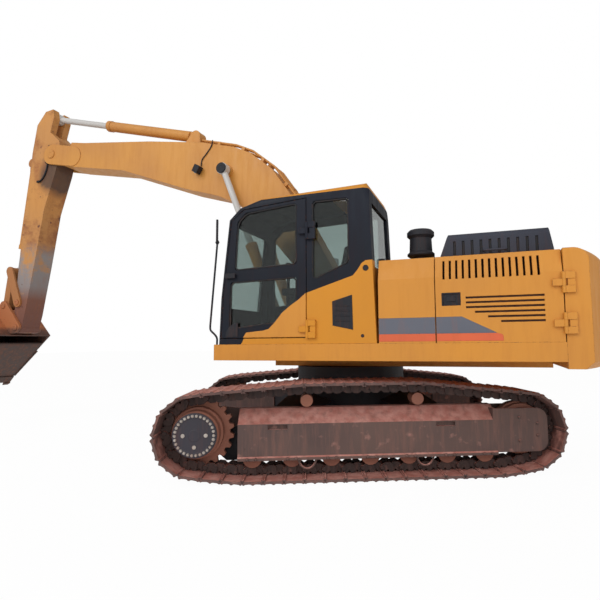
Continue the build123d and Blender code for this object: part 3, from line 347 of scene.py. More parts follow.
@dataclass(frozen=True)
class TwoToneEnamel(Enamel):
    """The cab's enamel: black above a line that sweeps down to the front, yellow below it and on the roof.

    Sprayed in two coats over a mask, so the line between them is sharp.
    """

    lower: str = "#D38C2C"
    lower_faded: str = "#C98631"
    roof_mm: float = 2872.0
    rear_mm: float = -665.0
    front_mm: float = 1115.0
    front_drop_mm: float = 830.0
    low_mm: float = 1300.0
    high_mm: float = 2200.0

    def coat(self, tree: Tree, place: Socket, fade: Socket) -> Socket:
        """Black or yellow by the place on the cab.

        Args:
            tree: the material's tree.
            place: Object coordinates.
            fade: a broad noise.

        Returns:
            The colour.
        """
        add = partial(node, tree)
        black = super().coat(tree, place, fade)
        pair = tuple(zip(self.fade_band, (self.lower, self.lower_faded)))
        yellow = add("ShaderNodeValToRGB", (fade,), pair)
        parts = add("ShaderNodeSeparateXYZ", (place,))
        rear, front = SLEW_AXIS.x + self.rear_mm * MM, SLEW_AXIS.x + self.front_mm * MM
        along = add("ShaderNodeMapRange", (parts.outputs["X"], rear, front))
        line = add("ShaderNodeFloatCurve", {"Value": along})
        points = line.mapping.curves[0].points
        swoosh = [*PAINT_LINE, (self.front_drop_mm, self.low_mm), (self.front_mm, self.low_mm)]
        while len(points) < len(swoosh):
            points.new(0.5, 0.5)
        for point, (x, z) in zip(points, swoosh):
            share = (x - self.rear_mm) / (self.front_mm - self.rear_mm)
            point.location = (min(max(share, 0.0), 1.0), (z - self.low_mm) / (self.high_mm - self.low_mm))
            point.handle_type = "VECTOR"
        line.mapping.update()
        up = parts.outputs["Z"]
        height = add("ShaderNodeMapRange", (up, self.low_mm * MM, self.high_mm * MM), clamp=False)
        below = add("ShaderNodeMath", (height, line), operation="LESS_THAN")
        above = add("ShaderNodeMath", (up, self.roof_mm * MM), operation="GREATER_THAN")
        mask = add("ShaderNodeMath", (below, above), operation="MAXIMUM")
        mixed = add("ShaderNodeMix", {"Factor": mask, "A": black, "B": yellow}, data_type="RGBA")
        return mixed.outputs["Result"]


GEAR_TOP_MM = 6500.0


class Finish(Enum):
    """The finishes of this machine, each with what it gives the eye."""

    # Warm yellow, even and fairly clean.
    BODY_YELLOW = Enamel("body_enamel", "#D38C2C", "#C98631", dustiness=0.25, wear=0.25)
    # The same yellow, sun-bleached and dusty up to its crest.
    BOOM_YELLOW = Enamel(
        "boom_enamel", "#CF9040", "#BD8040", rust="#7A4A30", dustiness=0.4, wear=0.8, dust_top_mm=GEAR_TOP_MM,
    )
    # Grease at the joint, rust patches, a scoured grey band and a rusty foot.
    ARM_WORN = WornAndShadedInPlaces(
        "arm_enamel", "#C98C48", "#B98450", rust="#6A4030", dustiness=0.35, wear=1.45, roughness=0.55,
        chip_mm=110.0, dust_top_mm=GEAR_TOP_MM, low_mm=from_slew("bucket_curl")[2],
        high_mm=from_slew("arm_swing")[2],
        bands=(
            (0.0, "#70463A"), (0.16, "#7E5242"), (0.24, "#8B8280"), (0.42, "#928A87"), (0.5, "#9A6238"),
            (0.8, "#A56A38"),
        ),
        grease_at_mm=from_slew("arm_swing", 300.0), grease_reach_mm=520.0,
    )
    # Orange-brown, knocked at every edge.
    LINK_ENAMEL = Enamel(
        "link_enamel", "#B87A44", "#A06A40", rust="#5B3828", dustiness=0.5, wear=1.0, roughness=0.6,
        dust_top_mm=GEAR_TOP_MM,
    )
    # Blue-black above, yellow below, with a soft sheen.
    CAB_TWO_TONE = TwoToneEnamel(
        "cab_enamel", "#10151F", "#181D29", dustiness=0.06, wear=0.1, roughness=0.4, specular=0.22,
    )
    # Matt grey-brown sides under pink clay.
    FRAME_CLAY = ClayCoated(
        "track_frame_enamel", "#54423F", "#675049", dust="#7C574D", rust="#3F2C28", dustiness=0.9, wear=0.6,
        roughness=0.8, chip_mm=120.0,
    )
    # Shoes rubbed and caked, pink on top.
    TRACK_STEEL = ClayCoated(
        "track_steel", "#584340", "#6A504A", dust="#8C5D53", rust="#30231F", dustiness=0.8, wear=0.7,
        roughness=0.75, chip_mm=60.0,
    )
    # Links dark and oily, and darker than the shoes as painted shade under them.
    LINK_STEEL = ClayCoated(
        "track_link_steel", "#382A28", "#46342F", dust="#6E4A42", rust="#241B19", dustiness=0.6, wear=0.7,
        roughness=0.75, chip_mm=60.0, clay="#8A574D", clay_pale="#A06C60",
    )
    # Orange-brown clay over the wheels.
    HUB_CLAY = Enamel(
        "wheel_enamel", "#9A6450", "#875647", dust="#8A5A4C", rust="#3F2C28", dustiness=0.8, wear=0.6,
        roughness=0.75,
    )
    # Painted shade: nearly black and matt, for the machine's own shade under the upper structure and inside
    # the tracks.
    UNDER_BLACK = Enamel(
        "underside_painted_shade", "#1A191F", "#211E22", dust="#4A332D", dustiness=0.3, wear=0.2, roughness=0.6,
    )
    # Slate grey sheet steel.
    HOOD_GREY = Enamel(
        "hood_grey", "#2F323E", "#3A3D48", dustiness=0.15, wear=0.1, roughness=0.55, specular=0.3,
    )
    # Moulded black plastic with a dull sheen.
    DARK_PARTS = Enamel(
        "dark_plastic", "#1C1D23", "#26272D", dustiness=0.2, wear=0.05, roughness=0.5, specular=0.3,
    )
    # Orange ears, and a shell scoured dark by earth, darker still low down as painted shade under and inside
    # the bucket.
    BUCKET_STEEL = WornAndShadedInPlaces(
        "bucket_steel", "#AE6A42", "#8A5538", rust="#4A332B", dustiness=0.5, wear=1.2, roughness=0.6,
        dust_top_mm=GEAR_TOP_MM, low_mm=from_slew("bucket_curl", 700.0)[2],
        high_mm=from_slew("bucket_curl", -300.0)[2], patch_mm=900.0, bare_from=0.2, bare_to=0.4,
        # The dark low bands are partly painted shade of the bucket's underside and mouth.
        bands=((0.0, "#4A362F"), (0.55, "#4A3630"), (0.66, "#6E4838"), (0.72, "#B06C42")),
    )
    # Dark violet-grey paint, dusty low down.
    DRIVE_COVER = Enamel(
        "drive_cover_paint", "#29262E", "#34303A", dust="#6E4A42", dustiness=0.35, wear=0.4, roughness=0.5,
    )
    # Pale bolt heads, rubbed bright in places.
    WORN_STEEL = Enamel(
        "worn_zinc_steel", "#B9B0A8", "#9A8F86", dustiness=0.5, wear=0.2, roughness=0.4, fade_mm=60.0,
    )
    # Grey vinyl film of the band.
    SLATE = Enamel("slate_film", "#5A5D68", "#646671", dustiness=0.3, wear=0.05, roughness=0.45)
    # Red-orange vinyl film of the stripe.
    STRIPE = Enamel("orange_film", "#DB6238", "#CF5E3A", dustiness=0.3, wear=0.05, roughness=0.45)
    # Painted shade: a brown dark that stands for the inside of a duct, where no light comes.
    SHADE = Enamel("unlit_duct", "#3B1F14", "#2A1710", dustiness=0.2, wear=0.0, roughness=0.9)
    # Painted reflection: a pale grey that stands for the sky seen in the glass; sharp, with little roughness.
    PAINTED_SKY_GLASS = Enamel("glass_painted_sky", "#C8CDD2", "#C0C6CC", dustiness=0.1, wear=0.0, roughness=0.08)
    # Black rubber, chalky with age; the same black is painted shade in the hood's side slots.
    RUBBER_AND_SLOT_SHADE = Enamel("rubber_and_slot_shade", "#17171A", "#1E1E21", dustiness=0.3, wear=0.0, roughness=0.7)
    # Woven black seat cloth, its threads drawn at 3 mm so that they show.
    SEAT_CLOTH = Enamel(
        "seat_cloth", "#1F2024", "#292A2E", dustiness=0.1, wear=0.0, roughness=0.85, chip_mm=3.0,
    )
    # Bright grey chromed steel.
    ROD_CHROME = Enamel("rod_chrome", "#C9C7C4", "#BDBAB6", dustiness=0.05, wear=0.0, roughness=0.2)


_materials: dict[Finish, bpy.types.Material] = {}


def material_of(finish: Finish) -> bpy.types.Material:
    """The finish's material, made once.

    Args:
        finish: one of the machine's finishes.

    Returns:
        Its material, the same one each time.
    """
    if finish not in _materials:
        _materials[finish] = finish.value.build()
    return _materials[finish]


NODE_FINISHES: dict[Finish, tuple[str, ...]] = {
    Finish.BODY_YELLOW: (
        "upper_frame", "counterweight", "left_front_cover", "left_rear_door", "right_front_cover",
        "right_rear_door", "engine_house", "fuel_tank", "hydraulic_tank", "tool_box", "handrails",
    ),
    Finish.BOOM_YELLOW: (
        "boom", "boom_pipes", "boom_cylinder_barrels", "arm_cylinder_barrel", "bucket_cylinder_barrel",
    ),
    Finish.ARM_WORN: ("arm",),
    Finish.LINK_ENAMEL: ("rocker_links", "bucket_link"),
    Finish.CAB_TWO_TONE: ("cab_shell", "cab_door"),
    Finish.FRAME_CLAY: ("track_frame_left", "track_frame_right"),
    Finish.HUB_CLAY: (
        "rollers_left", "rollers_right", "sprocket_left", "sprocket_right", "idler_left", "idler_right",
    ),
    # Painted shade: the carbody and swing bearing are nearly black for the shade under the upper structure.
    Finish.UNDER_BLACK: ("carbody", "swing_bearing"),
    Finish.TRACK_STEEL: ("track_left", "track_right"),
    Finish.HOOD_GREY: ("hood",),
    Finish.DARK_PARTS: (
        "pre_cleaner", "exhaust_pipe", "control_consoles", "engine_block", "radiator", "work_lamp",
    ),
    Finish.BUCKET_STEEL: ("bucket", "bucket_teeth"),
    Finish.ROD_CHROME: ("boom_cylinder_rods", "arm_cylinder_rod", "bucket_cylinder_rod", "boom_pin"),
}


def glass() -> bpy.types.Material:
    """Tempered safety glass, faintly grey-green and clear.

    Returns:
        A node material.
    """
    material = bpy.data.materials.new("safety_glass")
    material.use_nodes = True
    inputs = material.node_tree.nodes["Principled BSDF"].inputs
    inputs["Base Color"].default_value = linear("#AFBBB8")
    inputs["Roughness"].default_value = 0.02
    inputs["IOR"].default_value = 1.5
    inputs["Transmission Weight"].default_value = 1.0
    return material


def give(piece: Piece, material: bpy.types.Material) -> None:
    """Replace a piece's materials with one."""
    piece.data.materials.clear()
    piece.data.materials.append(material)


def dress_nodes() -> None:
    """Give every carried-over node its finish."""
    pane = glass()
    for finish, names in NODE_FINISHES.items():
        for name in names:
            give(frame["nodes"][name], material_of(finish))
    for name in ("cab_glass", "cab_door_glass"):
        give(frame["nodes"][name], pane)


def upper(x: float, y: float, z: float) -> Vector:
    """A point of the upper structure in millimetres from the slewing axis, in the frame's metres."""
    return SLEW_AXIS + Vector((x, y, z)) * MM


def moved(x: float, y: float, z: float) -> Matrix:
    """A move in millimetres."""
    return Matrix.Translation(Vector((x, y, z)) * MM)


def turned_by(degrees: float, axis: str) -> Matrix:
    """A turn about X, Y or Z."""
    return Matrix.Rotation(math.radians(degrees), 4, axis)


def link(name: str, mesh: bpy.types.Mesh) -> Piece:
    """Put a mesh in the scene as an object at the origin.

    Args:
        name: the object's name.
        mesh: its mesh.

    Returns:
        The object.
    """
    made = bpy.data.objects.new(name, mesh)
    bpy.context.scene.collection.objects.link(made)
    return made


def meshed(name: str, bm: Draft) -> bpy.types.Mesh:
    """Close a mesh in the making, with its faces pointing outwards.

    Args:
        name: the mesh's name.
        bm: the mesh in the making, freed here.

    Returns:
        The mesh.
    """
    bmesh.ops.recalc_face_normals(bm, faces=bm.faces)
    mesh = bpy.data.meshes.new(name)
    bm.to_mesh(mesh)
    bm.free()
    return mesh


def evaluated_mesh(made: Piece) -> bpy.types.Mesh:
    """The object's mesh with its modifiers applied."""
    return bpy.data.meshes.new_from_object(made.evaluated_get(bpy.context.evaluated_depsgraph_get()))


def new_piece(name: str, bm: Draft, body: Body, finish: Finish, soft_mm: float = 0.0) -> Piece:
    """Turn a mesh in the making into a piece that rides on a body.

    Args:
        name: the piece's name.
        bm: its mesh, in metres in the frame.
        body: what it rides on.
        finish: its finish.
        soft_mm: width of the rounding on its sharp edges, or 0.

    Returns:
        The piece.
    """
    mesh = meshed(name, bm)
    mesh.materials.append(material_of(finish))
    piece = link(name, mesh)
    if soft_mm:
        soft = piece.modifiers.new("soft_edges", "BEVEL")
        soft.width = soft_mm * MM
        soft.segments = 2
        soft.limit_method = "ANGLE"
    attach(piece, body.value)
    log.info("%s: %d faces on %s", name, len(mesh.polygons), body.value)
    return piece


def prism(bm: Draft, outline: Sequence[Flat], y0: float, y1: float, place: Matrix) -> None:
    """Add an outline in X and Z, drawn out from y0 to y1, all in millimetres.

    Args:
        bm: the mesh to add to.
        outline: corners in order.
        y0: one end.
        y1: the other end.
        place: from the drawing's metres to the frame.
    """
    near = [bm.verts.new(place @ (Vector((x, y0, z)) * MM)) for x, z in outline]
    far = [bm.verts.new(place @ (Vector((x, y1, z)) * MM)) for x, z in outline]
    bm.faces.new(near)
    bm.faces.new(reversed(far))
    for i in range(len(outline)):
        j = (i + 1) % len(outline)
        bm.faces.new((near[j], near[i], far[i], far[j]))


def slab(bm: Draft, xs: Flat, zs: Flat, ys: Flat, place: Matrix) -> None:
    """Add a flat rectangular bar.

    Args:
        bm: the mesh to add to.
        xs: its two ends in X, in millimetres.
        zs: its two ends in Z.
        ys: its two ends in Y.
        place: from the drawing's metres to the frame.
    """
    prism(bm, [(xs[0], zs[0]), (xs[1], zs[0]), (xs[1], zs[1]), (xs[0], zs[1])], *ys, place)


def turned(bm: Draft, profile: Sequence[Flat], steps: int, place: Matrix) -> None:
    """Add a solid of revolution about Z from radius and height pairs, in millimetres.

    Args:
        bm: the mesh to add to.
        profile: radius and height, from the axis out and back to the axis.
        steps: facets round.
        place: from the drawing's metres to the frame.
    """
    rings = []
    for radius, height in profile:
        count = steps if radius else 1
        ring = []
        for i in range(count):
            angle = math.tau * i / count
            spot = Vector((radius * math.cos(angle), radius * math.sin(angle), height)) * MM
            ring.append(bm.verts.new(place @ spot))
        rings.append(ring)
    for low, high in zip(rings, rings[1:]):
        for i in range(steps):
            j = (i + 1) % steps
            corners = [low[i % len(low)], low[j % len(low)], high[j % len(high)], high[i % len(high)]]
            unique = list(dict.fromkeys(corners))
            if len(unique) > 2:
                bm.faces.new(unique)


def tube(bm: Draft, route: Sequence[Vector], radius_mm: float, sides: int = 10) -> None:
    """Add a round bar, closed at its ends.

    Args:
        bm: the mesh to add to.
        route: points in the frame.
        radius_mm: its radius.
        sides: facets round.
    """
    rings = []
    side = None
    for i, point in enumerate(route):
        ahead = route[min(i + 1, len(route) - 1)] - route[max(i - 1, 0)]
        ahead.normalize()
        if side is None:
            side = ahead.orthogonal().normalized()
        side = (side - ahead * side.dot(ahead)).normalized()
        up = ahead.cross(side)
        ring = []
        for k in range(sides):
            angle = math.tau * k / sides
            out = side * math.cos(angle) + up * math.sin(angle)
            ring.append(bm.verts.new(point + out * radius_mm * MM))
        rings.append(ring)
    for low, high in zip(rings, rings[1:]):
        for k in range(sides):
            bm.faces.new((low[k], low[(k + 1) % sides], high[(k + 1) % sides], high[k]))
    bm.faces.new(rings[0])
    bm.faces.new(reversed(rings[-1]))


def smooth_route(points: Sequence[Vector], steps: int) -> list[Vector]:
    """A Catmull-Rom line for rigid bars that are bent in long curves.

    Args:
        points: what the line passes through.
        steps: points of the line for each of them.

    Returns:
        The line.
    """
    line = []
    padded = [points[0], *points, points[-1]]
    for a, b, c, d in zip(padded, padded[1:], padded[2:], padded[3:]):
        for i in range(steps):
            t = i / steps
            square = (2 * a - 5 * b + 4 * c - d) * t * t
            cube = (3 * b - a - 3 * c + d) * t ** 3
            line.append(0.5 * (2 * b + (c - a) * t + square + cube))
    line.append(points[-1])
    return line


def scatter_tree(unit: Piece, material: bpy.types.Material) -> Tree:
    """A tree that puts one unit on each point, turned by its turn attribute.

    Args:
        unit: what is repeated.
        material: its finish.

    Returns:
        The tree, with an input named Size that scales every unit.
    """
    tree = bpy.data.node_groups.new("repeat_" + unit.name, "GeometryNodeTree")
    add = partial(node, tree)
    tree.interface.new_socket("Geometry", in_out="INPUT", socket_type="NodeSocketGeometry")
    size = tree.interface.new_socket("Size", in_out="INPUT", socket_type="NodeSocketFloat")
    size.default_value = 1.0
    tree.interface.new_socket("Geometry", in_out="OUTPUT", socket_type="NodeSocketGeometry")
    source = add("NodeGroupInput")
    turn = add("GeometryNodeInputNamedAttribute", {"Name": "turn"}, data_type="FLOAT_VECTOR")
    euler = add("FunctionNodeEulerToRotation", (turn,))
    shape = add("GeometryNodeObjectInfo", {"Object": unit})
    wanted = {
        "Points": source.outputs["Geometry"],
        "Instance": shape.outputs["Geometry"],
        "Rotation": euler,
        "Scale": source.outputs["Size"],
    }
    real = add("GeometryNodeRealizeInstances", {"Geometry": add("GeometryNodeInstanceOnPoints", wanted)})
    dressed = add("GeometryNodeSetMaterial", {"Geometry": real, "Material": material})
    add("NodeGroupOutput", {"Geometry": dressed})
    return tree


def repeat(
    name: str, unit: Piece, places: Sequence[tuple[Vector, Euler]], body: Body, finish: Finish,
    size: float = 1.0,
) -> Piece:
    """Repeat a unit at many places and keep the result as one plain mesh.

    Args:
        name: the piece's name.
        unit: what is repeated, drawn about the origin.
        places: point and turn of each copy.
        body: what the piece rides on.
        finish: its finish.
        size: scale of every copy.

    Returns:
        The piece.
    """
    points = bpy.data.meshes.new(name + "_points")
    points.from_pydata([tuple(point) for point, _ in places], [], [])
    turns = points.attributes.new("turn", "FLOAT_VECTOR", "POINT")
    for i, (_, turn) in enumerate(places):
        turns.data[i].vector = tuple(turn)
    carrier = link(name + "_carrier", points)
    tree = scatter_tree(unit, material_of(finish))
    modifier = carrier.modifiers.new("repeat", "NODES")
    modifier.node_group = tree
    socket = next(s for s in tree.interface.items_tree if s.name == "Size")
    modifier[socket.identifier] = size
    mesh = evaluated_mesh(carrier)
    mesh.name = name
    bpy.data.objects.remove(carrier)
    bpy.data.objects.remove(unit)
    piece = link(name, mesh)
    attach(piece, body.value)
    log.info("%s: %d copies, %d faces on %s", name, len(places), len(mesh.polygons), body.value)
    return piece


def unit_object(name: str, bm: Draft) -> Piece:
    """A mesh to be repeated, as an object of its own that is removed after use."""
    return link(name, meshed(name, bm))


def bolt_unit() -> Piece:
    """A hexagon head on its washer, 20 mm across its corners, standing along Z.

    Returns:
        The bolt, drawn about the origin.
    """
    bm = bmesh.new()
    turned(bm, [(0, 0), (13, 0), (13, 2.5), (0, 2.5)], 12, Matrix.Identity(4))
    turned(bm, [(0, 2.5), (10, 2.5), (10, 8), (8.6, 9.5), (0, 9.5)], 6, Matrix.Identity(4))
    return unit_object("hex_bolt", bm)


def facing(direction: Vector, spin: float = 0.0) -> Euler:
    """The turn that sets a unit's Z along a direction, spun about it in radians."""
    turn = direction.to_track_quat("Z", "X").to_matrix() @ Matrix.Rotation(spin, 3, "Z")
    return turn.to_euler()


@dataclass
class TrackSide:
    """One side of the undercarriage, drawn straight and then turned under the machine, in millimetres."""

    side: int
    name: str
    turn_deg: float = 22.0
    wheelbase: float = 3270.0
    gauge: float = 2200.0
    shoe_count: int = 44
    shoe_width: float = 600.0
    shoe_gap: float = 6.0
    shoe_plate: float = 11.0
    grouser: float = 25.0
    earth_drop: float = 9.0
    pin_over_shoe: float = 26.0
    link_outer: float = 46.0
    link_inner: float = 48.0
    link_waist: float = 20.0
    sprocket_radius: float = 322.0
    sprocket_height: float = 460.0
    idler_radius: float = 315.0
    idler_height: float = 438.0
    roller_radius: float = 78.0
    roller_rest: float = 0.3
    roller_front: float = 535.0
    roller_rear: float = 395.0
    roller_count: int = 7
    carrier_x: float = 565.0
    carrier_radius: float = 62.0
    track_top: float = 950.0
    play: float = 4.0
    flat_beyond: float = 120.0
    cover_radius: float = 200.0
    cover_face: float = 235.0
    cover_bolts: int = 30
    bolt_circle_in: float = 16.0
    plug_circle: float = 108.0
    frame_face: float = 190.0
    roller_bolt_along: float = 42.0
    roller_bolt_out: float = 14.0
    roller_bolt_z: float = 216.0
    guard_places: Flat = (-610.0, 560.0)
    guard_z: float = 214.0
    guard_bend: Flat = (86.0, 104.0)
    guard_inset: float = 24.0
    guard_radius: float = 11.0
    inner_guard_depths: Flat = (168.0, 162.0)

    def place(self) -> Matrix:
        """From this track's own drawing to the frame."""
        shift = moved(0, self.side * self.gauge / 2, 0)
        return Matrix.Translation(SLEW_AXIS) @ turned_by(self.turn_deg, "Z") @ shift

    def dress(self, name: str, bm: Draft, finish: Finish) -> None:
        """Make a piece of this side."""
        new_piece(f"{name}_{self.name}", bm, Body.UNDERCARRIAGE, finish)

    def pins(self) -> list[Flat]:
        """The chain's pins on their path held tight round the wheels.

        Returns:
            X and Z of each pin, in order.
        """
        ground_pin = self.link_outer + self.shoe_plate + self.pin_over_shoe
        roller_z = ground_pin + self.link_inner + self.roller_radius + self.roller_rest
        top_pin = self.track_top - ground_pin
        carrier_z = top_pin - self.link_inner - self.play - self.carrier_radius
        half = self.wheelbase / 2
        circles = [
            (half, self.sprocket_height, self.sprocket_radius),
            (-half, self.idler_height, self.idler_radius),
            (self.carrier_x, carrier_z, top_pin - carrier_z),
            (-self.carrier_x, carrier_z, top_pin - carrier_z),
            (half - self.roller_front + self.flat_beyond, roller_z, roller_z - ground_pin),
            (self.roller_rear - half - self.flat_beyond, roller_z, roller_z - ground_pin),
        ]
        path = []
        for degree in range(361):
            c = math.cos(math.radians(degree))
            s = math.sin(math.radians(degree))
            x, z, r = max(circles, key=lambda k: k[0] * c + k[1] * s + k[2])
            path.append((x + r * c, z + r * s))
        lengths = [math.dist(a, b) for a, b in zip(path, path[1:])]
        pitch = sum(lengths) / self.shoe_count
        made: list[Flat] = []
        walked = 0.0
        for a, b, length in zip(path, path[1:], lengths):
            while len(made) * pitch < walked + length and len(made) < self.shoe_count:
                share = (len(made) * pitch - walked) / length
                made.append((a[0] + (b[0] - a[0]) * share, a[1] + (b[1] - a[1]) * share))
            walked += length
        return made

    def shoe_unit(self, pitch: float) -> Piece:
        """One shoe with three grousers, packed with earth between them.

        Args:
            pitch: the chain's pitch in millimetres.

        Returns:
            The shoe, drawn about the origin.
        """
        bm = bmesh.new()
        half = (pitch - self.shoe_gap) / 2
        low = self.link_outer
        tip = low + self.shoe_plate + self.grouser
        packed = tip - self.earth_drop
        shoe = [
            (-half - 16, low - 16), (-half - 22, low - 4), (-half - 10, low + 14), (-half - 3, tip - 8),
            (-half + 3, tip - 2), (-half + 12, tip - 3), (-half + 24, packed), (-30, packed - 2),
            (-16, packed + 1), (-8, tip - 1), (6, tip - 1), (15, packed), (34, packed - 3),
            (half - 24, packed), (half - 13, tip - 3), (half - 4, tip - 2), (half + 3, tip - 8),
            (half + 10, low + 14), (half + 22, low - 4), (half + 16, low - 16),
            (half - 4, low + 1), (-half + 4, low + 1),
        ]
        prism(bm, shoe, -self.shoe_width / 2, self.shoe_width / 2, Matrix.Identity(4))
        return unit_object("shoe", bm)

    def link_unit(self, pitch: float) -> Piece:
        """The pair of links under one shoe, their pin and the shoe's bolts.

        Args:
            pitch: the chain's pitch in millimetres.

        Returns:
            The links, drawn about the origin.
        """
        bm = bmesh.new()
        half = (pitch - self.shoe_gap) / 2
        outer_z, inner_z, waist = self.link_outer, -self.link_inner, self.link_waist
        for side in (-1, 1):
            for x0, x1, inner, outer in ((-half, 14, 52, 76), (-14, half, 76, 94)):
                middle = (x0 + x1) / 2
                rail = [
                    (x0 + 6, outer_z), (x0 - 6, 20), (x0, -26), (x0 + 30, inner_z), (x1 - 30, inner_z),
                    (x1, -26), (x1 + 6, 20), (x1 - 6, outer_z), (middle + waist, outer_z), (middle, waist),
                    (middle - waist, outer_z),
                ]
                low = min(side * inner, side * outer)
                prism(bm, rail, low, low + outer - inner, Matrix.Identity(4))
            for x in (-34, 34):
                for y in (side * 58, side * 88):
                    head = moved(x, y, self.link_outer + self.shoe_plate)
                    turned(bm, [(0, 0), (13, 0), (13, 14), (0, 14)], 6, head)
        profile = [(0, -104), (22, -104), (22, -94), (30, -52), (30, 52), (22, 94), (22, 104), (0, 104)]
        turned(bm, profile, 12, moved(-pitch / 2, 0, 0) @ turned_by(90, "X"))
        return unit_object("link_pair", bm)

    def chain(self) -> None:
        """Lay the shoes and links round the track."""
        pins = self.pins()
        place = self.place()
        name = self.name
        spots = []
        pitch = 0.0
        for a, b in zip(pins, pins[1:] + pins[:1]):
            pitch = max(pitch, math.dist(a, b))
            tangent = Vector((b[0] - a[0], 0, b[1] - a[1])).normalized()
            out = Vector((tangent.z, 0, -tangent.x))
            local = Matrix((tangent, out.cross(tangent), out)).transposed()
            middle = Vector(((a[0] + b[0]) / 2, 0, (a[1] + b[1]) / 2)) * MM
            spots.append((place @ middle, (place.to_3x3() @ local).to_euler()))
        for part, unit, finish in (
            ("shoes_", self.shoe_unit(pitch), Finish.TRACK_STEEL),
            ("links_", self.link_unit(pitch), Finish.LINK_STEEL),
        ):
            piece = repeat(part + name, unit, spots, Body.UNDERCARRIAGE, finish)
            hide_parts("track_" + name)

    def drive_cover(self) -> None:
        """The final drive's dark end cover with its ring of bolts and three plugs."""
        bm = bmesh.new()
        centre = moved(self.wheelbase / 2, self.side * self.cover_face, self.sprocket_height)
        hub = self.place() @ centre @ turned_by(-90 * self.side, "X")
        r = self.cover_radius
        profile = [
            (0, -4), (r + 12, -12), (r + 12, 2), (r, 8), (r - 34, 8), (r - 42, 4), (60, 5), (52, 9), (0, 9),
        ]
        turned(bm, profile, 48, hub)
        self.dress("drive_cover", bm, Finish.DRIVE_COVER)
        spots = []
        circle = r - self.bolt_circle_in
        for i in range(self.cover_bolts):
            angle = math.tau * i / self.cover_bolts
            spot = hub @ (Vector((circle * math.cos(angle), circle * math.sin(angle), 8)) * MM)
            spots.append((spot, facing(hub.to_3x3() @ Vector((0, 0, 1)), angle)))
        bolts = "drive_bolts_" + self.name
        repeat(bolts, bolt_unit(), spots, Body.UNDERCARRIAGE, Finish.WORN_STEEL, 1.15)
        bm = bmesh.new()
        for degrees in (90, 0, 180):
            spot = hub @ turned_by(degrees, "Z") @ moved(self.plug_circle, 0, 4)
            turned(bm, [(0, 0), (20, 0), (20, 5), (13, 7), (0, 7)], 8, spot)
        self.dress("drive_plugs", bm, Finish.WORN_STEEL)

    def frame_trim(self) -> None:
        """The track frame's bolt heads, its two chain guards and the guard behind the bottom rollers."""
        place = self.place()
        side, face, half = self.side, self.side * self.frame_face, self.wheelbase / 2
        out = place.to_3x3() @ Vector((0, side, 0))
        spots = []
        step = (self.wheelbase - self.roller_front - self.roller_rear) / (self.roller_count - 1)
        for i in range(self.roller_count):
            for dx in (-self.roller_bolt_along, self.roller_bolt_along):
                x = half - self.roller_front - i * step + dx
                spot = Vector((x, face + side * self.roller_bolt_out, self.roller_bolt_z))
                spots.append((place @ (spot * MM), facing(out)))
        for x, z in ((-half + 60, 560), (-half + 60, 330), (-half - 130, 380), (-half - 130, 500)):
            spots.append((place @ (Vector((x, face, z)) * MM), facing(out)))
        bolts = "frame_bolts_" + self.name
        repeat(bolts, bolt_unit(), spots, Body.UNDERCARRIAGE, Finish.FRAME_CLAY, 1.3)
        bm = bmesh.new()
        for offset in self.guard_places:
            ring = []
            for i in range(13):
                angle = math.pi + math.pi * i / 12
                x = offset + self.guard_bend[0] * math.cos(angle)
                z = self.guard_z + self.guard_bend[1] * math.sin(angle)
                ring.append(place @ (Vector((x, face - side * self.guard_inset, z)) * MM))
            tube(bm, ring, self.guard_radius)
        self.dress("chain_guards", bm, Finish.FRAME_CLAY)
        bm = bmesh.new()
        front, rear = half - 400.0, 290.0 - half
        guard = [
            (rear, 128), (front + 160, 128), (front + 240, 200), (front + 190, 470), (front, 470),
            (front, 205), (rear, 205),
        ]
        prism(bm, guard, *sorted(-side * depth for depth in self.inner_guard_depths), place)
        # The guard is nearly black as painted shade inside the track.
        self.dress("inner_guard", bm, Finish.UNDER_BLACK)

    def build(self) -> None:
        """Make all of it."""
        self.chain()
        self.drive_cover()
        self.frame_trim()


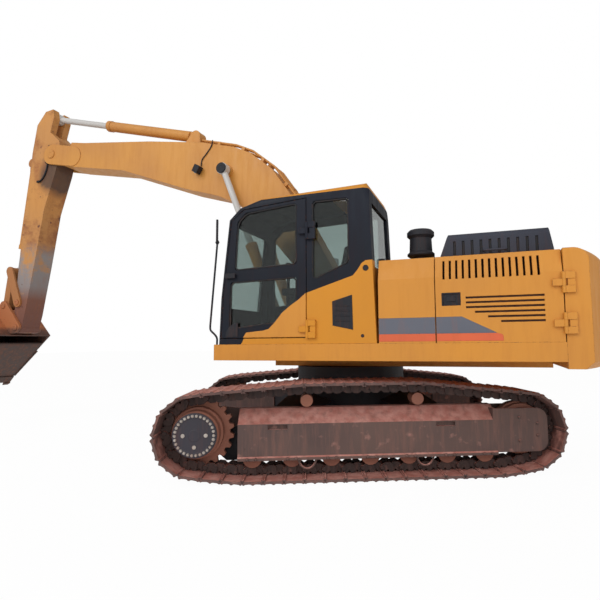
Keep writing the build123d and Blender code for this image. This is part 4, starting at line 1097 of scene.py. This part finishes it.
@dataclass
class SideDress:
    """Paint panels, latch and dark backing of painted shade on one long side of the engine house, in
    millimetres.
    """

    side: int
    name: str
    door: Body
    face: float = 1350.0
    film: float = 1.5
    seam: float = -1221.0
    seam_gap: float = 5.0
    bottom: float = 1336.0
    band_top: float = 1558.0
    stripe_top: float = 1406.0
    film_front: float = -684.0
    band_slope: Flat = (-1455.0, -1745.0)
    stripe_tail: float = -1806.0
    latch_at: Flat = (-1365.0, 1720.0)
    louvre_count: int = 6
    louvre_pitch: float = 44.0
    louvre_low: float = 1500.0
    louvre_slot: float = 18.0
    louvre_ends: Flat = (-2152.0, -1495.0)
    louvre_taper: float = 0.45
    shade_depths: Flat = (13.9, 11.5)
    vent_shade_x: Flat = (-2270.0, -1265.0)
    vent_shade_z: Flat = (1860.0, 2100.0)
    vent_shade_depths: Flat = (104.0, 98.0)

    def at(self) -> Matrix:
        """From a drawing with y outwards to the frame."""
        return Matrix.Translation(SLEW_AXIS) @ Matrix.Diagonal((1, self.side, 1, 1))

    def film_piece(self, name: str, outline: Sequence[Flat], body: Body, finish: Finish) -> None:
        """A thin painted panel on the side's face.

        Args:
            name: its name without the side.
            outline: corners in order.
            body: what it rides on.
            finish: its film.
        """
        bm = bmesh.new()
        prism(bm, outline, self.face, self.face + self.film, self.at())
        new_piece(f"{name}_{self.name}", bm, body, finish)

    def decal(self) -> None:
        """The slate band with its orange stripe, split where the door begins."""
        front, rear = self.seam + self.seam_gap, self.seam - self.seam_gap
        top, stripe, low = self.band_top, self.stripe_top, self.bottom
        tail, slope = self.stripe_tail, self.band_slope
        first = self.film_front
        band = [(first, stripe), (first, top), (front, top), (front, stripe)]
        self.film_piece("band_front", band, Body.UPPER, Finish.SLATE)
        band = [(rear, stripe), (rear, top), (slope[0], top), (slope[1], stripe + 6), (slope[1] - 3, stripe)]
        self.film_piece("band_rear", band, self.door, Finish.SLATE)
        line = [(first, low), (first, stripe), (front, stripe), (front, low)]
        self.film_piece("stripe_front", line, Body.UPPER, Finish.STRIPE)
        line = [
            (rear, low), (rear, stripe), (slope[1] - 3, stripe), (tail + 12, stripe - 10),
            (tail, stripe - 26), (tail, low),
        ]
        self.film_piece("stripe_rear", line, self.door, Finish.STRIPE)

    def latch(self) -> None:
        """The black paddle latch in its recess."""
        bm = bmesh.new()
        x, z = self.latch_at
        back, rim = self.face - 15, self.face + 2
        for x0, x1, z0, z1, front in (
            (-82, 82, -57, 57, self.face - 11), (-84, 84, -59, -49, rim), (-84, 84, 49, 59, rim),
            (74, 84, -49, 49, rim), (-84, -74, -49, 49, rim),
        ):
            slab(bm, (x + x0, x + x1), (z + z0, z + z1), (back, front), self.at())
        paddle = [(x - 38, z - 22), (x + 46, z - 22), (x + 40, z + 26), (x - 32, z + 26)]
        prism(bm, paddle, self.face - 11, self.face - 3, self.at())
        new_piece("latch_" + self.name, bm, self.door, Finish.DARK_PARTS, 1.5)

    def backing(self) -> None:
        """Painted shade: dark sheets behind the vent slots and the louvres, for the shade inside the engine
        house.
        """
        bm = bmesh.new()
        near, far = self.vent_shade_depths
        slab(bm, self.vent_shade_x, self.vent_shade_z, (self.face - near, self.face - far), self.at())
        new_piece("vent_screen_" + self.name, bm, self.door, Finish.SHADE)
        bm = bmesh.new()
        rear, front = self.louvre_ends
        near, far = self.shade_depths
        for i in range(self.louvre_count):
            z = self.louvre_low + i * self.louvre_pitch
            back = max(0.0, self.louvre_taper - i / self.louvre_count) * (front - rear)
            zs = (z + 1, z + self.louvre_slot - 1)
            slab(bm, (rear + 2, front - back - 2), zs, (self.face - near, self.face - far), self.at())
        new_piece("louvre_shade_" + self.name, bm, self.door, Finish.SHADE)

    def build(self) -> None:
        """Make all of it."""
        self.decal()
        self.latch()
        self.backing()


@dataclass
class Cab:
    """What dresses the operator's cab: painted panel, vent, catch, seals and the seat, in millimetres."""

    side_face: float = 1345.0
    middle: float = 865.0
    floor: float = 1365.6
    corner_radius: float = 150.0
    corner_at: Flat = (850.0, 1400.0)
    voxel: float = 10.0
    most_swell: float = 12.0
    cloth_frames: int = 12
    pressure: float = 4.0
    bellows_folds: int = 6
    bellows_height: float = 290.0

    def at(self) -> Matrix:
        """From the cab's drawing to the frame."""
        return Matrix.Translation(SLEW_AXIS)

    def door_panel(self) -> None:
        """The painted lower corner of the door, whose upper edge sweeps down to the front."""
        bm = bmesh.new()
        face = self.side_face
        line = [p for p in PAINT_LINE if p[0] >= 60]
        outline = [(72, 1392), *[(max(x, 72), z) for x, z in line[:-1]], (790, 1392)]
        prism(bm, outline, face, face + 3, self.at())
        blank = [(172, 1562), (172, 1755), (250, 1708), (340, 1636), (410, 1540)]
        prism(bm, blank, face - 19, face, self.at())
        new_piece("door_lower_panel", bm, Body.CAB_DOOR, Finish.BODY_YELLOW, 1.0)

    def side_details(self) -> None:
        """The black louvred vent, the round catch, the small lock and the corner plate."""
        bm = bmesh.new()
        y = self.side_face
        prism(bm, [(-215, 1500), (-425, 1455), (-418, 1800), (-212, 1742)], y, y + 4, self.at())
        for z in (1545, 1595, 1645, 1695):
            blade = [(-240, z), (-395, z - 8), (-395, z + 4), (-240, z + 12)]
            prism(bm, blade, y + 4, y + 8, self.at())
        for x, z, r in ((-560, 2060, 30), (-520, 1395, 17)):
            spot = self.at() @ moved(x, y, z) @ turned_by(-90, "X")
            turned(bm, [(0, 0), (r, 0), (r, 3), (r - 5, 5), (r - 12, 2), (0, 2)], 20, spot)
        new_piece("cab_side_fittings", bm, Body.UPPER, Finish.DARK_PARTS, 0.8)
        bm = bmesh.new()
        x, z = self.corner_at
        turns = [math.radians(a) for a in range(0, 91, 15)]
        arc = [(x + self.corner_radius * math.cos(a), z + self.corner_radius * math.sin(a)) for a in turns]
        prism(bm, [(x, z), *arc], y + 0.2, y + 5, self.at())
        slab(bm, (875, 1000), (2030, 2082), (y + 28, y + 34), self.at())
        new_piece("door_corner_plate", bm, Body.CAB_DOOR, Finish.DARK_PARTS, 1.0)

    def seals(self) -> None:
        """Rubber seals round the glass of the left side."""
        for name, body, corners in (
            ("upper", Body.CAB_DOOR, [(170, 2140), (900, 2110), (870, 2640), (770, 2740), (170, 2790)]),
            ("lower", Body.CAB_DOOR, [(170, 1560), (960, 1480), (950, 1990), (170, 2010)]),
            ("quarter", Body.UPPER, [(0, 1960), (0, 2790), (-390, 2790), (-390, 2120)]),
        ):
            count = len(corners)
            centre = Vector((sum(c[0] for c in corners) / count, sum(c[1] for c in corners) / count))
            ring = []
            for i, corner in enumerate(corners):
                here = Vector(corner)
                before = (Vector(corners[i - 1]) - here).normalized()
                after = (Vector(corners[(i + 1) % count]) - here).normalized()
                for share in (0.0, 0.5, 1.0):
                    cut = here + (before * (1 - share) + after * share) * 30
                    cut += (centre - here).normalized() * 12
                    ring.append(upper(cut.x, self.side_face - 10, cut.y))
            bm = bmesh.new()
            tube(bm, [*ring, ring[0], ring[1]], 9, 8)
            new_piece(f"{name}_window_seal", bm, body, Finish.RUBBER_AND_SLOT_SHADE)

    def pad(self, name: str, size: Point, centre: Vector, tilt_deg: float) -> None:
        """One padded piece of the seat, blown up as cloth.

        Args:
            name: the piece's name.
            size: its length, width and height in millimetres.
            centre: its middle in the frame.
            tilt_deg: its lean to the rear.
        """
        bm = bmesh.new()
        bmesh.ops.create_cube(bm, size=1.0)
        for vertex in bm.verts:
            vertex.co = Vector([share * length for share, length in zip(vertex.co, size)]) * MM
        bmesh.ops.bevel(bm, geom=bm.edges[:], offset=min(size) * 0.3 * MM, segments=3, affect="EDGES")
        bmesh.ops.subdivide_edges(bm, edges=bm.edges[:], cuts=3, use_grid_fill=True)
        leaning = Matrix.Translation(centre) @ turned_by(tilt_deg, "Y")
        bmesh.ops.transform(bm, matrix=leaning, verts=bm.verts)
        piece = new_piece(name, bm, Body.UPPER, Finish.SEAT_CLOTH)
        self.inflate(piece)
        for polygon in piece.data.polygons:
            polygon.use_smooth = True
        subdivision = piece.modifiers.new("smooth", "SUBSURF")
        subdivision.levels = 1
        subdivision.render_levels = 1
        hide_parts("operator_seat")

    def inflate(self, piece: Piece) -> None:
        """Blow a pad up with air pressure, with a limit on how far a point moves.

        Args:
            piece: the pad.
        """
        remesh = piece.modifiers.new("remesh", "REMESH")
        remesh.mode = "VOXEL"
        remesh.voxel_size = self.voxel * MM
        scene = bpy.context.scene
        scene.frame_set(1)
        flat = evaluated_mesh(piece)
        piece.modifiers.remove(remesh)
        piece.data = flat
        before = [v.co.copy() for v in flat.vertices]
        cloth = piece.modifiers.new("cloth", "CLOTH")
        cloth.settings.use_pressure = True
        cloth.settings.uniform_pressure_force = self.pressure
        cloth.settings.effector_weights.gravity = 0.0
        cloth.point_cache.frame_start = 1
        cloth.point_cache.frame_end = self.cloth_frames
        for step in range(1, self.cloth_frames + 1):
            scene.frame_set(step)
        blown = evaluated_mesh(piece)
        piece.modifiers.remove(cloth)
        piece.data = blown
        limit = self.most_swell * MM
        for vertex, start in zip(blown.vertices, before):
            move = vertex.co - start
            if move.length > limit:
                vertex.co = start + move.normalized() * limit
        scene.frame_set(1)

    def seat(self) -> None:
        """Cushion, backrest, headrest, bellows and headrest posts of the operator's seat."""
        for name, size, x, z, tilt_deg, fill in (
            ("seat_cushion", (480, 450, 100), 10, 366, -4, 0.7),
            ("seat_back", (95, 430, 600), -255, 720, -12, 0.7),
            ("seat_headrest", (70, 250, 165), -330, 1120, -12, 0.8),
        ):
            self.pad(name, size, upper(x, self.middle, self.floor + z), tilt_deg)
        bm = bmesh.new()
        height = self.bellows_height / self.bellows_folds
        for i in range(self.bellows_folds):
            low = self.floor + 4 + i * height
            waist, top = low + height / 2, low + height
            fold = [(-215, low), (-190, waist), (-215, top), (175, top), (150, waist), (175, low)]
            prism(bm, fold, self.middle - 180, self.middle + 180, self.at())
        base = new_piece("seat_bellows", bm, Body.UPPER, Finish.RUBBER_AND_SLOT_SHADE)
        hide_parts("operator_seat")
        bm = bmesh.new()
        for side in (-1, 1):
            y = self.middle + side * 60
            tube(bm, [upper(-305, y, self.floor + 1000), upper(-326, y, self.floor + 1090)], 7)
        posts = new_piece("headrest_posts", bm, Body.UPPER, Finish.WORN_STEEL)
        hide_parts("operator_seat")

    def build(self) -> None:
        """Make all of it."""
        self.door_panel()
        self.side_details()
        self.seals()
        self.seat()


@dataclass
class Mirrors:
    """The two mirrors on their bent stays, in millimetres from the slewing axis."""

    head: Point = (24.0, 150.0, 250.0)
    corner: float = 30.0
    turn_deg: float = 33.0
    left_y: float = 1315.0
    right_at: Flat = (620.0, -1290.0)
    left_bends: tuple[Flat, ...] = ((1125, 1321), (1125, 1385), (1150, 1425), (1205, 1475), (1213, 1520))

    def mirror_head(self, name: str, centre: Vector, turn_deg: float) -> None:
        """A rounded black housing with its glass set in the rear face.

        Args:
            name: the mirror's name.
            centre: its middle in the frame.
            turn_deg: its turn about the upright.
        """
        length, width, height = self.head
        face_on = Matrix.Translation(centre) @ turned_by(turn_deg, "Z") @ turned_by(90, "Z")
        rim = []
        for sx, sz, start in ((1, 1, 0), (-1, 1, 90), (-1, -1, 180), (1, -1, 270)):
            for a in (0, 30, 60, 90):
                angle = math.radians(start + a)
                x = sx * (width / 2 - self.corner) + self.corner * math.cos(angle)
                rim.append((x, sz * (height / 2 - self.corner) + self.corner * math.sin(angle)))
        bm = bmesh.new()
        prism(bm, rim, -length / 2, length / 2, face_on)
        new_piece(name + "_housing", bm, Body.UPPER, Finish.DARK_PARTS, 6.0)
        bm = bmesh.new()
        inner = [(x * 0.88, z * 0.93) for x, z in rim]
        prism(bm, inner, length / 2, length / 2 + 1.5, face_on)
        # The mirror's glass is pale grey as a painted reflection of the sky.
        new_piece(name + "_glass", bm, Body.UPPER, Finish.PAINTED_SKY_GLASS)

    def build(self) -> None:
        """Make both stays and heads in place of the plain ones."""
        bm = bmesh.new()
        y = self.left_y
        bends = [upper(x, y, z) for x, z in self.left_bends]
        tube(bm, [*smooth_route(bends, 5), upper(1175, y, 1980), upper(1137, y, 2440)], 11, 12)
        ball = [(0, -24), (14, -20), (24, 0), (14, 20), (0, 24)]
        turned(bm, ball, 14, Matrix.Translation(upper(1137, y, 2450)))
        tube(bm, [upper(1137, y, 2450), upper(1138, y + 5, 2500)], 8)
        tube(bm, [upper(*self.right_at, 2318), upper(*self.right_at, 2430)], 10)
        turned(bm, ball, 14, Matrix.Translation(upper(*self.right_at, 2432)))
        stays = new_piece("mirror_stays", bm, Body.UPPER, Finish.DARK_PARTS)
        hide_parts("mirrors")
        self.mirror_head("left_mirror", upper(1138, y + 7, 2572), self.turn_deg)
        self.mirror_head("right_mirror", upper(*self.right_at, 2555), -self.turn_deg)


@dataclass
class HoodDress:
    """Painted shade: dark inserts for the shade inside the hood's side slots, in millimetres."""

    middle: float = -1767.5
    count: int = 10
    pitch: float = 82.0
    half_width: float = 11.0
    heights: Flat = (2154.0, 2302.0)
    depths: Flat = (1108.1, 1110.0)

    def build(self) -> None:
        """Lay a dark insert of painted shade in each slot on both sides."""
        bm = bmesh.new()
        for side in (-1, 1):
            place = Matrix.Translation(SLEW_AXIS) @ Matrix.Diagonal((1, side, 1, 1))
            for i in range(self.count):
                x = self.middle + (i - (self.count - 1) / 2) * self.pitch
                slab(bm, (x - self.half_width, x + self.half_width), self.heights, self.depths, place)
        # The inserts take the black rubber finish as painted shade.
        new_piece("hood_slot_shade", bm, Body.HOOD, Finish.RUBBER_AND_SLOT_SHADE)


@dataclass
class WorkingGear:
    """Pin caps, side pipe and lamp of the boom, arm and bucket, placed from the joints' own axes."""

    boom_head_x: float = 2450.0
    boom_head_z: float = 930.0
    boom_angle_deg: float = 28.2
    pipe_radius: float = 12.0
    pipe_y: float = 172.0
    pipe_bends: tuple[Flat, ...] = (
        (70, 150), (108, 90), (118, 0), (114, -190), (165, -330), (235, -405), (310, -425),
    )
    pipe_clips: tuple[Flat, ...] = ((66, 156), (116, -110), (285, -422))
    lamp_aim: Point = (0.97, 0.0, -0.24)
    lens_out: float = 46.0
    conduit_radius: float = 8.0
    conduit_y: float = 200.0
    conduit_bends: tuple[Flat, ...] = ((-30, 60), (-40, 150), (-110, 230), (-190, 330), (-215, 420))

    def cap(self, bm: Draft, centre: Vector, side: int, y_face: float, r: float) -> None:
        """A domed pin cap on one side.

        Args:
            bm: the mesh to add to.
            centre: a point of the pin's axis in the frame.
            side: 1 on the left, -1 on the right.
            y_face: where it sits, in millimetres from the middle.
            r: its radius in millimetres.
        """
        at = Vector((centre.x, SLEW_AXIS.y + side * y_face * MM, centre.z))
        spot = Matrix.Translation(at) @ turned_by(-90 * side, "X")
        profile = [(0, 0), (r, 0), (r, 12), (r - 8, 18), (r * 0.4, 18), (r * 0.35, 14), (0, 14)]
        turned(bm, profile, 28, spot)

    def build(self) -> None:
        """Make the caps of every pin that shows, the side pipe and what dresses the lamp."""
        arm_pin = axis_of("arm_swing")
        bucket_pins = ((axis_of("bucket_curl"), 200.5, 52.0), (axis_of("bucket_link_swing"), 200.5, 44.0))
        foot_pin = axis_of("boom_lift")
        angle = math.radians(self.boom_angle_deg)
        along = Vector((math.cos(angle), 0, math.sin(angle)))
        across = Vector((-math.sin(angle), 0, math.cos(angle)))
        head = foot_pin + (along * self.boom_head_x + across * self.boom_head_z) * MM
        for name, body, spots, finish in (
            ("boom_pin_caps", Body.BOOM, ((arm_pin, 200.5, 70.0),), Finish.BOOM_YELLOW),
            ("rod_pin_caps", Body.BOOM_RODS, ((head, 340.5, 74.0),), Finish.DARK_PARTS),
            ("bucket_pin_caps", Body.BUCKET, bucket_pins, Finish.BUCKET_STEEL),
            ("rocker_pin_caps", Body.ROCKER, ((axis_of("rocker_swing"), 190.5, 46.0),), Finish.BUCKET_STEEL),
            ("foot_pin_caps", Body.UPPER, ((foot_pin, 244.5, 60.0),), Finish.DARK_PARTS),
        ):
            bm = bmesh.new()
            for centre, face, radius in spots:
                for side in (-1, 1):
                    self.cap(bm, centre, side, face, radius)
            new_piece(name, bm, body, finish)
        self.arm_pipe(arm_pin)
        self.lamp_dress()

    def arm_pipe(self, pin: Vector) -> None:
        """The black steel pipe on the arm's left side, bent past the joint's pin to the front edge.

        Args:
            pin: a point of the axis between boom and arm, in the frame.
        """
        y = SLEW_AXIS.y + self.pipe_y * MM
        bends = [Vector((pin.x + x * MM, y, pin.z + z * MM)) for x, z in self.pipe_bends]
        bm = bmesh.new()
        tube(bm, smooth_route(bends, 5), self.pipe_radius, 10)
        base = Matrix.Translation(Vector((pin.x, SLEW_AXIS.y, pin.z)))
        for x, z in self.pipe_clips:
            slab(bm, (x - 30, x + 30), (z - 16, z + 16), (160.2, 187), base)
        new_piece("arm_side_pipe", bm, Body.ARM, Finish.DARK_PARTS)

    def lamp_dress(self) -> None:
        """The boom lamp's lens and the conduit that carries its wire up to the boom's crest."""
        lowest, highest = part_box("work_lamp")
        middle = (Vector(lowest) + Vector(highest)) / 2
        aim = Vector(self.lamp_aim).normalized()
        spot = Matrix.Translation(middle + aim * self.lens_out * MM) @ facing(aim).to_matrix().to_4x4()
        bm = bmesh.new()
        turned(bm, [(0, 0), (40, 0), (40, 8), (34, 12), (30, 8), (0, 12)], 20, spot)
        # The lens is pale grey as a painted reflection of the sky.
        new_piece("lamp_lens", bm, Body.BOOM, Finish.PAINTED_SKY_GLASS)
        bm = bmesh.new()
        y = SLEW_AXIS.y + self.conduit_y * MM
        bends = [Vector((middle.x + x * MM, y, middle.z + z * MM)) for x, z in self.conduit_bends]
        tube(bm, smooth_route(bends, 4), self.conduit_radius, 8)
        new_piece("lamp_conduit", bm, Body.BOOM, Finish.DARK_PARTS)


@dataclass(frozen=True)
class Studio:
    """The pale floor, the soft lights and the camera at the photograph's place."""

    focal_px: float = 457.44
    image_px: float = 600.0
    axis_px: float = 334.6
    sensor_mm: float = 36.0
    camera_at: Point = (-1.657, 5.661, 1.343)
    toward: Flat = (0.3125, -0.9499)
    pitch_deg: float = 5.17
    roll_deg: float = -0.53
    floor_white: float = 0.97
    floor_reach: float = 60.0
    sky_light: float = 0.5
    aim_at: Point = (0.0, 0.0, 1.5)

    def camera(self) -> None:
        """Set up the camera as fitted to the photograph."""
        data = bpy.data.cameras.new("camera")
        data.sensor_width = self.sensor_mm
        data.lens = self.focal_px / self.image_px * self.sensor_mm
        data.shift_x = (self.image_px / 2 - self.axis_px) / self.image_px
        data.clip_end = 200.0
        camera = bpy.data.objects.new("camera", data)
        bpy.context.scene.collection.objects.link(camera)
        pitch = math.radians(self.pitch_deg)
        level = Vector((*self.toward, 0.0)).normalized()
        aim = level * math.cos(pitch) + Vector((0, 0, math.sin(pitch)))
        turn = aim.to_track_quat("-Z", "Y").to_matrix().to_4x4()
        place = Matrix.Translation(SLEW_AXIS + Vector(self.camera_at))
        camera.matrix_world = place @ turn @ turned_by(self.roll_deg, "Z")
        bpy.context.scene.camera = camera

    def floor(self) -> None:
        """A large pale floor that keeps the shadow and shows white to the camera."""
        mesh = bpy.data.meshes.new("floor")
        r = self.floor_reach
        mesh.from_pydata([(-r, -r, 0), (r, -r, 0), (r, r, 0), (-r, r, 0)], [], [(0, 1, 2, 3)])
        floor = link("floor", mesh)
        material = bpy.data.materials.new("pale_floor")
        material.use_nodes = True
        tree = material.node_tree
        add = partial(node, tree)
        shader = tree.nodes["Principled BSDF"]
        shader.inputs["Base Color"].default_value = linear("#F4F3F1")
        shader.inputs["Roughness"].default_value = 0.9
        rays = add("ShaderNodeLightPath").outputs
        seen = add("ShaderNodeMath", (rays["Is Camera Ray"], rays["Is Glossy Ray"]), operation="MAXIMUM")
        seen = add("ShaderNodeMath", (seen, rays["Is Transmission Ray"]), operation="MAXIMUM")
        share = add("ShaderNodeMath", (seen, self.floor_white), operation="MULTIPLY")
        white = add("ShaderNodeEmission", {"Color": (1.0, 1.0, 1.0, 1.0), "Strength": 1.0})
        mixed = add("ShaderNodeMixShader", (share, shader, white))
        tree.links.new(mixed.outputs[0], tree.nodes["Material Output"].inputs["Surface"])
        mesh.materials.append(material)

    def lights(self) -> None:
        """A soft sky with a broad key from above the viewer's left and a fill."""
        world = bpy.data.worlds.new("sky")
        bpy.context.scene.world = world
        world.use_nodes = True
        tree = world.node_tree
        add = partial(node, tree)
        back = tree.nodes["Background"]
        back.inputs["Color"].default_value = (1.0, 1.0, 1.0, 1.0)
        rays = add("ShaderNodeLightPath").outputs
        pair = (rays["Is Camera Ray"], rays["Is Transmission Ray"])
        direct = add("ShaderNodeMath", pair, operation="MAXIMUM")
        strength = add("ShaderNodeMapRange", {"Value": direct, "To Min": self.sky_light, "To Max": 1.0})
        tree.links.new(strength.outputs[0], back.inputs["Strength"])
        self.lamp("key", (4.0, 12.0, 11.0), 9.0, 950.0)
        self.lamp("fill", (-9.0, 10.0, 6.0), 8.0, 350.0)

    def lamp(self, name: str, place: Point, size: float, power: float) -> None:
        """An area lamp that faces the machine's middle.

        Args:
            name: the lamp's name.
            place: where it hangs, in metres.
            size: its side in metres.
            power: its power in watts.
        """
        data = bpy.data.lights.new(name, "AREA")
        data.size = size
        data.energy = power
        lamp = bpy.data.objects.new(name, data)
        bpy.context.scene.collection.objects.link(lamp)
        lamp.location = place
        lamp.rotation_mode = "QUATERNION"
        lamp.rotation_quaternion = (Vector(self.aim_at) - Vector(place)).to_track_quat("-Z", "Y")


def main() -> None:
    """Build everything in order."""
    dress_nodes()
    TrackSide(1, "left").build()
    TrackSide(-1, "right").build()
    SideDress(1, "left", Body.LEFT_DOOR).build()
    SideDress(-1, "right", Body.RIGHT_DOOR).build()
    Cab().build()
    Mirrors().build()
    HoodDress().build()
    WorkingGear().build()
    studio = Studio()
    studio.floor()
    studio.lights()
    studio.camera()
    bpy.context.scene.view_settings.view_transform = "Standard"


if __name__ == "__main__":
    main()
